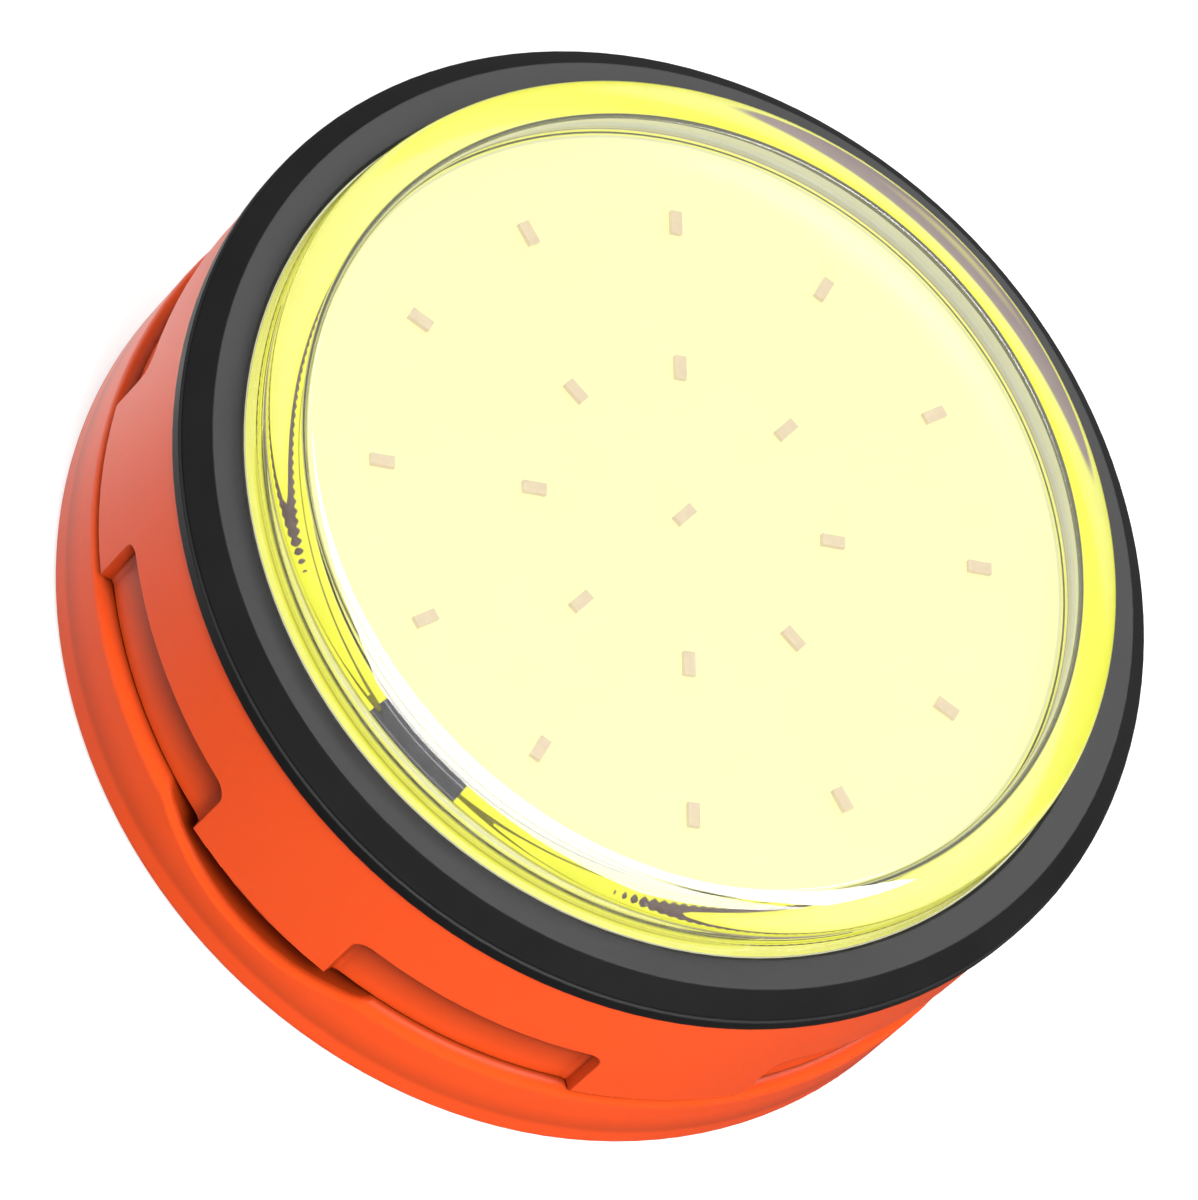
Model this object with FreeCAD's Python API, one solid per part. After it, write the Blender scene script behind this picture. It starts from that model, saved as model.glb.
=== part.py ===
import FreeCAD, Part
import math
import os
from FreeCAD import Vector

os.makedirs("parts", exist_ok=True)

# LED safety flare puck. Millimetres, +Z from the magnet base to the lens,
# origin on the standing plane at the middle of the base, thumb notch on -Y.

# --- shared by many pieces --------------------------------------------------
overrun = 1.0                # cutting shapes run this far past the faces they cut
root = 0.5                   # ribs and bosses start this far inside their wall

# --- base cap -------------------------------------------------------------
base_overhang = 0.1          # the base stands this far proud of the housing
base_height = 11.45
base_rim_width = 5.4
base_rim_fillet = 1.55
base_foot_fillet = 1.0
base_floor_thickness = 2.4
foot_relief = 0.8            # the middle of the underside stands this far off the ground
foot_width = 7.8
rim_core_width = 2.2         # moulding relief under the thick rim
rim_core_inset = 1.8
rim_core_depth = 5.6
rim_core_webs = 12
rim_core_web = 1.2
rib_count = 8
rib_thickness = 1.6
rib_height = 2.0
rim_step = 1.0               # inner corner below the rim's top

# --- thumb notch in the rim -------------------------------------------------
notch_half_width = 14.4
notch_depth = 3.75
notch_reach = 2.7            # how far in from the outside
notch_fillet = 0.9

# --- spigot that the light unit plugs onto ----------------------------------
spigot_wall = 2.2
spigot_height = 5.55
spigot_clearance = 0.15
key_width = 5.0
key_depth = 1.3
key_clearance = 0.25
seal_section = 1.5
seal_squeeze_gap = 0.05
seal_drop = 2.8              # middle of the seal below the spigot's top
seal_groove_slack = 0.15
key_lift = 0.6               # key above the seal
key_length = 6.0

# --- housing of the light unit ----------------------------------------------
housing_shoulder = 3.2       # from the neck out to the side wall
housing_height = 19.8
housing_wall = 2.9
housing_lip_fillet = 0.3
parting_gap = 0.35
deck_thickness = 2.0
deck_drop = 1.0              # underside of the deck below the bezel's shoulder
neck_wall = 1.5
neck_height = 2.9

# --- finger pockets round the housing's lower edge --------------------------
pocket_count = 7
pocket_angle = 30.6
pocket_height = 8.85
pocket_depth = 1.35
pocket_corner = 2.1
pocket_end_slope = 36.0

# --- bezel ring ---------------------------------------------------------------
bezel_overhang = 0.3         # beyond the housing's side wall
bezel_strip_height = 1.7
bezel_groove = 0.3
bezel_band_height = 2.3
bezel_band_inset = 2.55
bezel_top_dish = 0.15
bezel_lip_thickness = 1.15
bezel_edge_chamfer = 0.2
bezel_bore_chamfer = 0.35
thread_clearance = 0.05

# --- lens -----------------------------------------------------------------------
lens_radius = 46.4
lens_wall = 3.4
lens_top_thickness = 2.0
lens_height = 8.25
lens_shoulder = 2.8
lens_inner_chamfer = 1.3
lens_flange_width = 1.0
lens_flange_thickness = 1.2
lens_side_clearance = 0.1
gasket_thickness = 0.9
gasket_width = 3.2

# --- light engine ---------------------------------------------------------------
plate_thickness = 1.6
board_thickness = 1.2
board_edge_gap = 1.1
board_turn = -1.2            # the chip pattern sits this many degrees round from the notch
chip_length = 2.5
chip_width = 1.2
chip_height = 0.6
chip_inner_circle = 16.2
chip_inner_count = 8
chip_outer_circle = 32.4
chip_outer_count = 12
chip_outer_turn = 15.0
plate_screw_circle = 24.3
plate_screw_count = 6
plate_screw_turn = 30.0
plate_screw_roof = 0.3       # plate left over the end of each screw hole
header_pins = 4
header_pitch = 2.54
header_pin_width = 0.64
header_pin_slack = 0.05      # between a pin's corners and its hole
header_bar_length = 10.2
header_bar_width = 2.5
header_bar_height = 2.5
header_room = 0.5            # round the bar in the plate and the deck

# --- cells and their tray -------------------------------------------------------
cell_radius = 5.2
cell_length = 44.5
cell_nub_radius = 1.9
cell_nub_length = 1.2
cell_edge = 0.5
cell_count = 3
cell_pitch = 11.6
cell_lift = 1.1              # lowest point of the cells above the housing's lower edge
cell_clearance = 0.25
tray_wall = 1.5
tray_roof = 1.7
tray_mouth_drop = 3.0        # the tray's rim below the middle of the cells
tray_corner = 1.2
spring_room = 2.5
contact_thickness = 0.4
contact_height = 7.4
contact_width = 7.2
spring_width = 4.0
spring_height = 7.0

# --- driver board ---------------------------------------------------------------
driver_margin = 5.0          # board beyond the middle of its screws
driver_flat = 4.0
driver_thickness = 1.6
post_radius = 3.2
post_x = 19.5
post_offset = 4.95           # middle of a post from the tray's side
lug_thickness = 2.2
lug_radius = 3.6
tray_screw_bite = 3.0
coil_place = (-13.0, -10.0)
coil_base = 8.0
coil_base_height = 0.8
coil_radius = 3.6
coil_height = 2.9
capacitor_places = [(9.0, -12.0), (14.0, -6.0)]
capacitor_radius = 2.4
capacitor_height = 3.2
# middle x, middle y, length, width, height
driver_chips = [(11.0, 8.0, 6.0, 4.0, 1.5), (-13.5, 8.5, 5.0, 5.0, 1.2), (-22.0, -0.5, 4.0, 3.0, 1.2)]
socket_x = 26.5
socket_length = 10.0
socket_width = 5.0
socket_height = 3.0
socket_wall = 1.0

# --- small screws ---------------------------------------------------------------
screw_radius = 1.1
screw_head_radius = 2.1
screw_flats = 12
screw_head_height = 1.3
screw_slack = 0.15
screw_end_gap = 0.2
screw_post_wall = 1.6
screw_floor = 0.8            # base left under the retainer's screw holes

# --- switch and button ----------------------------------------------------------
channel_wall = 1.6           # left between the hook's channel and the button's seat
button_radius = 5.0
button_gap = 0.3
button_recess = 0.5
button_flange = 0.9
button_flange_thickness = 0.8
button_travel = 1.0
button_face_fillet = 0.6
button_flange_gap = 0.2      # flange above the base's floor
button_end_gap = 0.2         # collar to the retainer's roof at full press
stem_radius = 2.0
stem_collar = 0.6
stem_collar_lip = 1.2
stem_socket = 1.2            # rubber left under the stem
stem_clearance = 0.06
stem_gap = 0.05              # left above the stem at full press
retainer_wall = 1.6
retainer_top = 1.0
retainer_lug = 11.4
retainer_arm_width = 4.4
switch_width = 6.0
switch_body_height = 3.5
switch_plunger_radius = 1.75
switch_plunger_height = 1.0
switch_corner = 0.4
switch_board_inner = 6.0     # reach from the button's axis towards the tray
switch_board_outer = 7.0     # and outwards
switch_board_width = 17.0
switch_board_thickness = 1.6
switch_screw_shift = 1.0     # screws outside the button's axis
switch_screw_margin = 0.4
shelf_thickness = 2.0
shelf_wall_gap = 0.6         # between the shelf or its board and the spigot's bore

# --- magnet ---------------------------------------------------------------------
magnet_radius = 19.0
magnet_height = 5.0
magnet_setback = 0.25
magnet_cup_wall = 1.8
magnet_slack = 0.2
magnet_glue_gap = 0.1
magnet_seat_wall = 2.5
magnet_screw_radius = 2.0
magnet_screw_head = 4.0
magnet_screw_slack = 0.1
magnet_screw_reach = 5.8     # thread length in the boss
magnet_boss_radius = 4.6
magnet_boss_roof = 1.0
magnet_cup_chamfer = 0.5
magnet_sink_slack = 0.2
magnet_sink_depth = 0.3
cross_length = 4.4
cross_width = 0.9
cross_depth = 1.1

# --- folding hanging hook -------------------------------------------------------
hook_width = 4.6
hook_thickness = 3.0
hook_gap = 0.5               # round the hook in its channel
hook_rise = 0.3              # the hook's face above the underside's recess
hook_chamfer = 0.7
hook_mouth_start = -18.0
hook_mouth_end = 28.0
hook_neck_width = 8.0
hook_neck_length = 2.2
hook_neck_root = 1.5
hook_swing = 3.4             # channel widened beside the neck, for the turning ring
hook_swing_depth = 0.45
barrel_radius = 2.1
barrel_length = 10.0
barrel_gap = 0.3
pin_radius = 1.0
pin_clearance = 0.05
pin_hold = 4.5               # length of pin held in the base at each end
pin_end_wall = 1.5
hinge_block_depth = 10.0
fingernail_radius = 6.5
fingernail_depth = 2.0
fingernail_wall = 2.0

# --- heights and radii that follow from the sizes above --------------------------
flange_radius = lens_radius + lens_flange_width
neck_inner_radius = flange_radius + lens_side_clearance
neck_radius = neck_inner_radius + neck_wall
housing_radius = neck_radius + housing_shoulder
base_radius = housing_radius + base_overhang
bezel_radius = housing_radius + bezel_overhang
rim_inner_radius = base_radius - base_rim_width
floor_top = foot_relief + base_floor_thickness
foot_inner_radius = base_radius - foot_width
housing_bottom = base_height + parting_gap
shoulder_z = housing_bottom + housing_height
deck_bottom = shoulder_z - deck_drop
deck_top = deck_bottom + deck_thickness
housing_bore = housing_radius - housing_wall
spigot_radius = housing_bore - spigot_clearance
spigot_inner_radius = spigot_radius - spigot_wall
spigot_top = base_height + spigot_height
seal_z = spigot_top - seal_drop
seal_ring_radius = housing_bore - seal_squeeze_gap - seal_section / 2
key_bottom = seal_z + seal_section / 2 + key_lift
band_bottom = shoulder_z + bezel_strip_height + bezel_groove
bezel_top = band_bottom + bezel_band_height
bezel_band_top_radius = bezel_radius - bezel_band_inset
bezel_bore = lens_radius + lens_side_clearance
bezel_lip_bottom = bezel_top - bezel_lip_thickness
gasket_top = deck_top + gasket_thickness
flange_top = gasket_top + lens_flange_thickness
lens_top = gasket_top + lens_height
lens_inner_radius = lens_radius - lens_wall
neck_top = deck_top + neck_height - deck_drop
board_radius = lens_inner_radius - board_edge_gap
plate_top = deck_top + plate_thickness
board_top = plate_top + board_thickness
cell_z = housing_bottom + cell_lift + cell_radius
cavity_radius = cell_radius + cell_clearance
tray_top = cell_z + cavity_radius + tray_roof
tray_bottom = cell_z - tray_mouth_drop
tray_room = cell_length / 2 + spring_room / 2 + contact_thickness
tray_half_length = tray_room + tray_wall
tray_half_width = cell_pitch * (cell_count - 1) / 2 + cavity_radius + tray_wall
post_y = tray_half_width + post_offset
driver_radius = math.hypot(post_x, post_y) + driver_margin
driver_bottom = tray_top
driver_top = driver_bottom + driver_thickness
magnet_face = magnet_setback
magnet_seat_radius = magnet_radius + magnet_slack
magnet_seat_z = magnet_face + magnet_height
magnet_roof_z = magnet_seat_z + base_floor_thickness
magnet_screw_tip = magnet_seat_z + magnet_screw_reach
channel_inner = magnet_seat_radius + magnet_seat_wall
channel_outer = channel_inner + hook_width + 2 * hook_gap
hook_inner = channel_inner + hook_gap
hook_outer = hook_inner + hook_width
hook_bottom = foot_relief + hook_rise
hook_top = hook_bottom + hook_thickness
channel_top = hook_top + hook_gap
hinge_y = -(hook_outer + hook_neck_length)
hinge_z = (hook_bottom + hook_top) / 2
hinge_pocket_top = hinge_z + barrel_radius + barrel_gap
button_bottom = foot_relief + button_recess
button_flange_z = floor_top + button_flange_gap
button_top = button_flange_z + button_flange_thickness
retainer_inner = button_radius + button_flange + button_gap
retainer_radius = retainer_inner + retainer_wall
button_x = channel_outer + channel_wall + button_gap + retainer_radius
retainer_roof_z = button_top + stem_collar + button_travel + button_end_gap
retainer_top_z = retainer_roof_z + retainer_top
stem_top = retainer_top_z + button_travel
switch_tip = stem_top + button_travel + stem_gap
switch_body_z = switch_tip + switch_plunger_height
switch_board_z = switch_body_z + switch_body_height
shelf_z = switch_board_z + switch_board_thickness
up = Vector(0, 0, 1)


# --- helpers ----------------------------------------------------------------------
def disc(radius, low, high, x=0.0, y=0.0):
    return Part.makeCylinder(radius, high - low, Vector(x, y, low))


def tube(inner, outer, low, high, x=0.0, y=0.0):
    return disc(outer, low, high, x, y).cut(disc(inner, low - overrun, high + overrun, x, y))


def block(x_low, x_high, y_low, y_high, low, high):
    corner = Vector(x_low, y_low, low)
    return Part.makeBox(x_high - x_low, y_high - y_low, high - low, corner)


def spin(points):
    """Solid of revolution about Z from (radius, height) points."""
    corners = [Vector(r, 0, z) for r, z in points]
    outline = Part.makePolygon(corners + corners[:1])
    return Part.Face(outline).revolve(Vector(0, 0, 0), up, 360)


def turned(shape, angle):
    copy = shape.copy()
    copy.rotate(Vector(0, 0, 0), up, angle)
    return copy


def joined(shapes):
    whole = shapes[0]
    return whole.multiFuse(shapes[1:]).removeSplitter() if len(shapes) > 1 else whole


def circle_edges(shape, radius, height):
    """Edges that lie at one height, all at one distance from the Z axis."""
    found = []
    for edge in shape.Edges:
        flat = abs(edge.BoundBox.ZMin - height) < 0.01 and abs(edge.BoundBox.ZMax - height) < 0.01
        spots = [edge.valueAt(edge.FirstParameter), edge.valueAt(edge.LastParameter)]
        round_it = all(abs(math.hypot(spot.x, spot.y) - radius) < 0.01 for spot in spots)
        if flat and round_it:
            found.append(edge)
    return found


def flatted_bar(radius, low, high, x, y):
    """Upright bar with a few flats, for a round form that repeats many times."""
    corners = []
    for index in range(screw_flats):
        bearing = 2 * math.pi * index / screw_flats
        corners.append(Vector(x + radius * math.cos(bearing), y + radius * math.sin(bearing), low))
    return Part.Face(Part.makePolygon(corners + corners[:1])).extrude(Vector(0, 0, high - low))


def screw(x, y, head_z, tip_z):
    """Plain-headed screw, head on the lower side when head_z is under tip_z."""
    way = 1 if tip_z > head_z else -1
    head_low = min(head_z, head_z + way * screw_head_height)
    shank_from = head_z + way * screw_head_height
    head = flatted_bar(screw_head_radius, head_low, head_low + screw_head_height, x, y)
    shank = flatted_bar(screw_radius, min(shank_from, tip_z), max(shank_from, tip_z), x, y)
    return head.fuse(shank).removeSplitter()


def save(name, shape):
    shape.exportStep("parts/" + name + ".step")
    print(name, len(shape.Solids), round(shape.Volume, 1), shape.isValid())


# --- base cap ---------------------------------------------------------------------
def rim_relief():
    """Ring groove under the rim, crossed by thin webs."""
    outer = base_radius - rim_core_inset
    inner = outer - rim_core_width
    groove = tube(inner, outer, -overrun, rim_core_depth)
    for index in range(rim_core_webs):
        web = block(inner - root, outer + root, -rim_core_web / 2, rim_core_web / 2, 0, rim_core_depth)
        groove = groove.cut(turned(web, (index + 0.5) * 360 / rim_core_webs))
    return groove


def thumb_notch():
    """Shallow round scoop in the rim, as deep as the notch reach."""
    scoop_radius = (notch_half_width ** 2 + notch_depth ** 2) / (2 * notch_depth)
    middle = Vector(0, -(base_radius + overrun), base_height - notch_depth + scoop_radius)
    scoop = Part.makeCylinder(scoop_radius, base_radius, middle, Vector(0, 1, 0))
    return scoop.cut(disc(base_radius - notch_reach, -overrun, 2 * scoop_radius))


def notch_rim(base):
    """The notch's edge on the outside of the rim."""
    rim = []
    for edge in base.Edges:
        ends = [edge.valueAt(edge.FirstParameter), edge.valueAt(edge.LastParameter)]
        outside = all(abs(math.hypot(end.x, end.y) - base_radius) < 0.01 for end in ends)
        sloped = edge.BoundBox.ZLength > 0.5 * notch_depth and edge.BoundBox.XLength > notch_half_width / 2
        if outside and sloped and edge.BoundBox.YMax < 0:
            rim.append(edge)
    return rim


def base_ribs():
    ribs = []
    for index in range(rib_count):
        rib = block(channel_outer + root, rim_inner_radius + root, -rib_thickness / 2, rib_thickness / 2,
                    floor_top - root, floor_top + rib_height)
        ribs.append(turned(rib, (index + 0.5) * 360 / rib_count))
    return ribs


def base_body():
    """Turned body: magnet seat, hook channel, foot ring, rim and spigot."""
    wall = base_floor_thickness
    profile = [
        (0, magnet_seat_z), (magnet_seat_radius, magnet_seat_z),
        (magnet_seat_radius, foot_relief), (channel_inner, foot_relief),
        (channel_inner, channel_top), (channel_outer, channel_top),
        (channel_outer, foot_relief), (foot_inner_radius, foot_relief),
        (foot_inner_radius, 0), (base_radius, 0), (base_radius, base_height),
        (spigot_radius, base_height), (spigot_radius, spigot_top),
        (spigot_inner_radius, spigot_top), (spigot_inner_radius, base_height),
        (rim_inner_radius, base_height - rim_step), (rim_inner_radius, floor_top),
        (channel_outer + wall, floor_top), (channel_outer + wall, channel_top + wall),
        (magnet_seat_radius + wall, channel_top + wall), (magnet_seat_radius, magnet_roof_z),
        (0, magnet_roof_z),
    ]
    body = spin(profile)
    body = body.makeFillet(base_rim_fillet, circle_edges(body, base_radius, base_height))
    return body.makeFillet(base_foot_fillet, circle_edges(body, base_radius, 0))


def base_bosses():
    """Bosses for the magnet's screw, the hinge pin, the dish and the retainer's screws."""
    wall = base_floor_thickness
    half = hinge_half_length()
    boss_top = magnet_screw_tip + screw_end_gap + magnet_boss_roof
    bosses = [disc(magnet_boss_radius, magnet_roof_z - root, boss_top)]
    bosses.append(block(-half, half, hinge_y - hinge_block_depth / 2, hinge_y + hinge_block_depth / 2,
                        floor_top - root, hinge_pocket_top + wall))
    bosses.append(disc(fingernail_radius + fingernail_wall, floor_top - root, fingernail_top() + wall,
                       0, channel_outer))
    for side in (-1, 1):
        bosses.append(disc(screw_radius + screw_post_wall, floor_top - root, retainer_roof_z,
                           button_x, side * retainer_lug))
    return bosses


def button_seat():
    """Hole for the button and a level seat for its retainer."""
    hole = disc(button_radius + button_gap, -overrun, retainer_roof_z, button_x)
    seat = tube(retainer_inner - button_gap, retainer_radius + button_gap, floor_top, spigot_top, button_x)
    return joined([hole, seat])


def make_base_cap():
    base = joined([base_body()] + base_ribs() + base_bosses())
    cuts = [rim_relief(), disc(magnet_seat_radius, -overrun, magnet_seat_z)]
    cuts.append(tube(channel_inner, channel_outer, -overrun, channel_top))
    cuts += [hinge_pocket(), fingernail_dish(), button_seat(), seal_groove(), make_hook_pin()]
    cuts.append(disc(magnet_screw_radius, magnet_seat_z - overrun, magnet_screw_tip + screw_end_gap))
    for side in (-1, 1):
        cuts.append(disc(screw_radius, foot_relief + screw_floor, spigot_top,
                         button_x, side * retainer_lug))
    half_slot = key_width / 2 + key_clearance
    cuts.append(block(-base_radius, -spigot_inner_radius + overrun, -half_slot, half_slot,
                      key_bottom - key_clearance, spigot_top + overrun))
    base = base.cut(joined(cuts)).cut(thumb_notch())
    return base.makeFillet(notch_fillet, notch_rim(base))


def pin_length():
    return barrel_length + 2 * (barrel_gap + pin_hold)


def hinge_half_length():
    return pin_length() / 2 + pin_end_wall


def hinge_pocket():
    """Room for the hook's barrel and neck, open downwards."""
    half = barrel_length / 2 + barrel_gap
    reach = barrel_radius + 2 * barrel_gap
    low = -overrun
    room = block(-half, half, hinge_y - reach, -channel_inner - hook_gap, low, hinge_z)
    roof = Part.makeCylinder(barrel_radius + barrel_gap, 2 * half, Vector(-half, hinge_y, hinge_z),
                             Vector(1, 0, 0))
    neck = block(-half, half, hinge_y, -channel_inner - hook_gap, low, channel_top)
    swing = block(-half - hook_swing, half + hook_swing, -channel_outer - hook_swing_depth, -channel_inner,
                  low, hinge_z)
    return joined([room, roof, neck, swing.cut(disc(channel_inner, low, hinge_z))])


def fingernail_top():
    return foot_relief + fingernail_depth


def fingernail_dish():
    """Shallow dish beside the channel, for a fingernail behind the hook."""
    ball = (fingernail_radius ** 2 + fingernail_depth ** 2) / (2 * fingernail_depth)
    return Part.makeSphere(ball, Vector(0, channel_outer, fingernail_top() - ball))


def seal_groove():
    half = seal_section / 2 + seal_groove_slack
    floor = seal_ring_radius - seal_section / 2 - seal_squeeze_gap
    return tube(floor, spigot_radius + overrun, seal_z - half, seal_z + half)


def make_base_seal():
    """Endless ring of eight-sided section."""
    half = seal_section / 2
    flat = half * math.tan(math.radians(22.5))
    corners = [(half, -flat), (half, flat), (flat, half), (-flat, half),
               (-half, flat), (-half, -flat), (-flat, -half), (flat, -half)]
    return spin([(seal_ring_radius + r, seal_z + z) for r, z in corners])


# --- magnet -----------------------------------------------------------------------
def make_magnet_cup():
    cup = disc(magnet_radius, magnet_face, magnet_seat_z)
    cup = cup.makeChamfer(magnet_cup_chamfer, circle_edges(cup, magnet_radius, magnet_seat_z))
    room = disc(magnet_radius - magnet_cup_wall, -overrun, magnet_seat_z - magnet_cup_wall)
    return cup.cut(joined([room, magnet_screw_hole()]))


def magnet_screw_hole():
    return disc(magnet_screw_radius + magnet_screw_slack, -overrun, magnet_seat_z + overrun)


def make_magnet_disc():
    body = disc(magnet_radius - magnet_cup_wall - magnet_glue_gap, magnet_face,
                magnet_seat_z - magnet_cup_wall)
    mouth_radius = magnet_screw_head + magnet_sink_slack
    hole_radius = magnet_screw_radius + magnet_screw_slack
    sink_z = magnet_face + magnet_sink_depth
    funnel = Part.makeCone(mouth_radius, hole_radius, mouth_radius - hole_radius, Vector(0, 0, sink_z))
    mouth = disc(mouth_radius, -overrun, sink_z)
    return body.cut(joined([funnel, mouth, magnet_screw_hole()]))


def make_magnet_screw():
    """Countersunk screw with a cross recess."""
    low = magnet_face + magnet_sink_depth
    sink = magnet_screw_head - magnet_screw_radius
    head = Part.makeCone(magnet_screw_head, magnet_screw_radius, sink, Vector(0, 0, low))
    shank = disc(magnet_screw_radius, low + sink, magnet_screw_tip)
    body = head.fuse(shank).removeSplitter()
    slot = block(-cross_length / 2, cross_length / 2, -cross_width / 2, cross_width / 2,
                 low - overrun, low + cross_depth)
    return body.cut(joined([turned(slot, 45), turned(slot, 135)]))


# --- hanging hook -----------------------------------------------------------------
def make_hanging_hook():
    """Open ring that folds flat round the magnet, with a hinge barrel outside it."""
    ring = tube(hook_inner, hook_outer, hook_bottom, hook_top)
    mouth_width = 3 * hook_outer
    wedge = Part.makeCylinder(mouth_width, hook_thickness + 2 * overrun, Vector(0, 0, hook_bottom - overrun),
                              up, hook_mouth_end - hook_mouth_start)
    ring = ring.cut(turned(wedge, hook_mouth_start))
    ring = ring.makeChamfer(hook_chamfer, [edge for edge in ring.Edges if edge.BoundBox.ZLength < 0.01])
    barrel = Part.makeCylinder(barrel_radius, barrel_length, Vector(-barrel_length / 2, hinge_y, hinge_z),
                               Vector(1, 0, 0))
    neck = block(-hook_neck_width / 2, hook_neck_width / 2, hinge_y, -hook_outer + hook_neck_root,
                 hook_bottom, hook_top)
    bore = Part.makeCylinder(pin_radius + pin_clearance, pin_length(),
                             Vector(-pin_length() / 2, hinge_y, hinge_z), Vector(1, 0, 0))
    return joined([ring, barrel, neck]).cut(bore)


def make_hook_pin():
    return Part.makeCylinder(pin_radius, pin_length(), Vector(-pin_length() / 2, hinge_y, hinge_z),
                             Vector(1, 0, 0))


# --- button -----------------------------------------------------------------------
def make_button_pad():
    pad = disc(button_radius, button_bottom, button_top, button_x)
    rim = [edge for edge in pad.Edges if abs(edge.BoundBox.ZMax - button_bottom) < 0.01]
    pad = pad.makeFillet(button_face_fillet, rim)
    flange = disc(button_radius + button_flange, button_flange_z, button_top, button_x)
    socket = disc(stem_radius, button_bottom + stem_socket, button_top + overrun, button_x)
    return joined([pad, flange]).cut(socket)


def make_button_stem():
    stem = disc(stem_radius, button_bottom + stem_socket, stem_top, button_x)
    collar = disc(stem_radius + stem_collar_lip, button_top, button_top + stem_collar, button_x)
    return joined([stem, collar])


def make_button_retainer():
    """Cup over the button's flange, with a guide hole for the stem and two screw lugs."""
    cup = disc(retainer_radius, floor_top, retainer_top_z, button_x)
    cup = cup.cut(disc(retainer_inner, floor_top - overrun, retainer_roof_z, button_x))
    half = retainer_arm_width / 2
    arms = [block(button_x - half, button_x + half, -retainer_lug, retainer_lug,
                  retainer_roof_z, retainer_top_z)]
    holes = [disc(stem_radius + stem_clearance, floor_top, spigot_top, button_x)]
    for side in (-1, 1):
        y = side * retainer_lug
        arms.append(disc(screw_radius + screw_post_wall, retainer_roof_z, retainer_top_z, button_x, y))
        holes.append(disc(screw_radius + screw_slack, floor_top, spigot_top, button_x, y))
    cup = joined([cup] + arms)
    return cup.cut(joined(holes))


def make_retainer_screws():
    head = retainer_top_z + screw_head_height
    tip = foot_relief + screw_floor + screw_end_gap
    return Part.makeCompound([screw(button_x, side * retainer_lug, head, tip) for side in (-1, 1)])


# --- housing ----------------------------------------------------------------------
def pocket_outline(distance, half_width, top):
    """Rounded outline in a plane across the pocket, at one distance from the axis."""
    low = housing_bottom - overrun
    corner = pocket_corner
    bend = corner * (1 - math.sqrt(0.5))

    def at(x, z):
        return Vector(x, -distance, z)

    left = Part.Arc(at(-half_width, top - corner), at(-half_width + bend, top - bend),
                    at(-half_width + corner, top))
    right = Part.Arc(at(half_width - corner, top), at(half_width - bend, top - bend),
                     at(half_width, top - corner))
    sides = [
        Part.LineSegment(at(-half_width, low), at(-half_width, top - corner)), left,
        Part.LineSegment(at(-half_width + corner, top), at(half_width - corner, top)), right,
        Part.LineSegment(at(half_width, top - corner), at(half_width, low)),
        Part.LineSegment(at(half_width, low), at(-half_width, low)),
    ]
    return Part.Wire([side.toShape() for side in sides])


def finger_pocket():
    """Sloped-end recess as deep as the pocket depth, centred on -Y."""
    half = math.radians(pocket_angle / 2)
    mouth = housing_radius * math.cos(half)
    mouth_half = housing_radius * math.sin(half)
    slope = math.tan(math.radians(pocket_end_slope))
    top = housing_bottom + pocket_height
    near = housing_radius - housing_wall
    far = housing_radius + overrun
    wires = []
    for distance in (near, far):
        wires.append(pocket_outline(distance, mouth_half + (distance - mouth) * slope, top))
    recess = Part.makeLoft(wires, True, True)
    return recess.cut(disc(housing_radius - pocket_depth, -overrun, lens_top))


def housing_posts():
    """Screw posts from the deck down to the driver board."""
    posts = []
    for x in (-post_x, post_x):
        for y in (-post_y, post_y):
            posts.append(disc(post_radius, driver_top, deck_bottom + root, x, y))
    return posts


def make_housing():
    profile = [
        (housing_bore, housing_bottom), (housing_radius, housing_bottom),
        (housing_radius, shoulder_z), (neck_radius, shoulder_z), (neck_radius, neck_top),
        (neck_inner_radius, neck_top), (neck_inner_radius, deck_top), (0, deck_top),
        (0, deck_bottom), (housing_bore, deck_bottom),
    ]
    shell = spin(profile)
    shell = shell.makeFillet(housing_lip_fillet, circle_edges(shell, housing_radius, housing_bottom))
    pitch = 360 / pocket_count
    pocket = finger_pocket()
    pockets = [turned(pocket, (index + 0.5) * pitch) for index in range(pocket_count)]
    shell = shell.cut(joined(pockets))
    key = block(-housing_bore - root, -housing_bore + key_depth, -key_width / 2, key_width / 2,
                key_bottom, key_bottom + key_length)
    shell = joined([shell, key] + housing_posts())
    holes = [disc(screw_radius + screw_slack, deck_bottom - overrun, deck_top + overrun, x, y)
             for x, y in plate_screw_spots()]
    for x in (-post_x, post_x):
        for y in (-post_y, post_y):
            holes.append(disc(screw_radius, driver_top - overrun, deck_bottom, x, y))
    holes.append(header_slot(deck_bottom - overrun, deck_top + overrun))
    return shell.cut(joined(holes)).removeSplitter()


def plate_screw_spots():
    spots = []
    for index in range(plate_screw_count):
        angle = math.radians(plate_screw_turn + index * 360 / plate_screw_count)
        spots.append((plate_screw_circle * math.cos(angle), plate_screw_circle * math.sin(angle)))
    return spots


# --- bezel, lens and gasket -----------------------------------------------------------
def make_bezel_ring():
    """Retaining ring: upright strip, fine groove, sloping band and a lip over the lens flange."""
    ease = bezel_edge_chamfer
    strip_top = shoulder_z + bezel_strip_height
    groove_radius = bezel_radius - bezel_groove
    inner_top = bezel_top - bezel_top_dish
    thread_radius = neck_radius + thread_clearance
    profile = [
        (thread_radius, shoulder_z), (bezel_radius - ease, shoulder_z), (bezel_radius, shoulder_z + ease),
        (bezel_radius, strip_top), (groove_radius, strip_top + bezel_groove / 2),
        (groove_radius, band_bottom), (bezel_band_top_radius + ease, bezel_top - ease),
        (bezel_band_top_radius, bezel_top), (bezel_bore + bezel_bore_chamfer, inner_top),
        (bezel_bore, inner_top - bezel_bore_chamfer), (bezel_bore, bezel_lip_bottom),
        (thread_radius, bezel_lip_bottom),
    ]
    return spin(profile)


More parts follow.
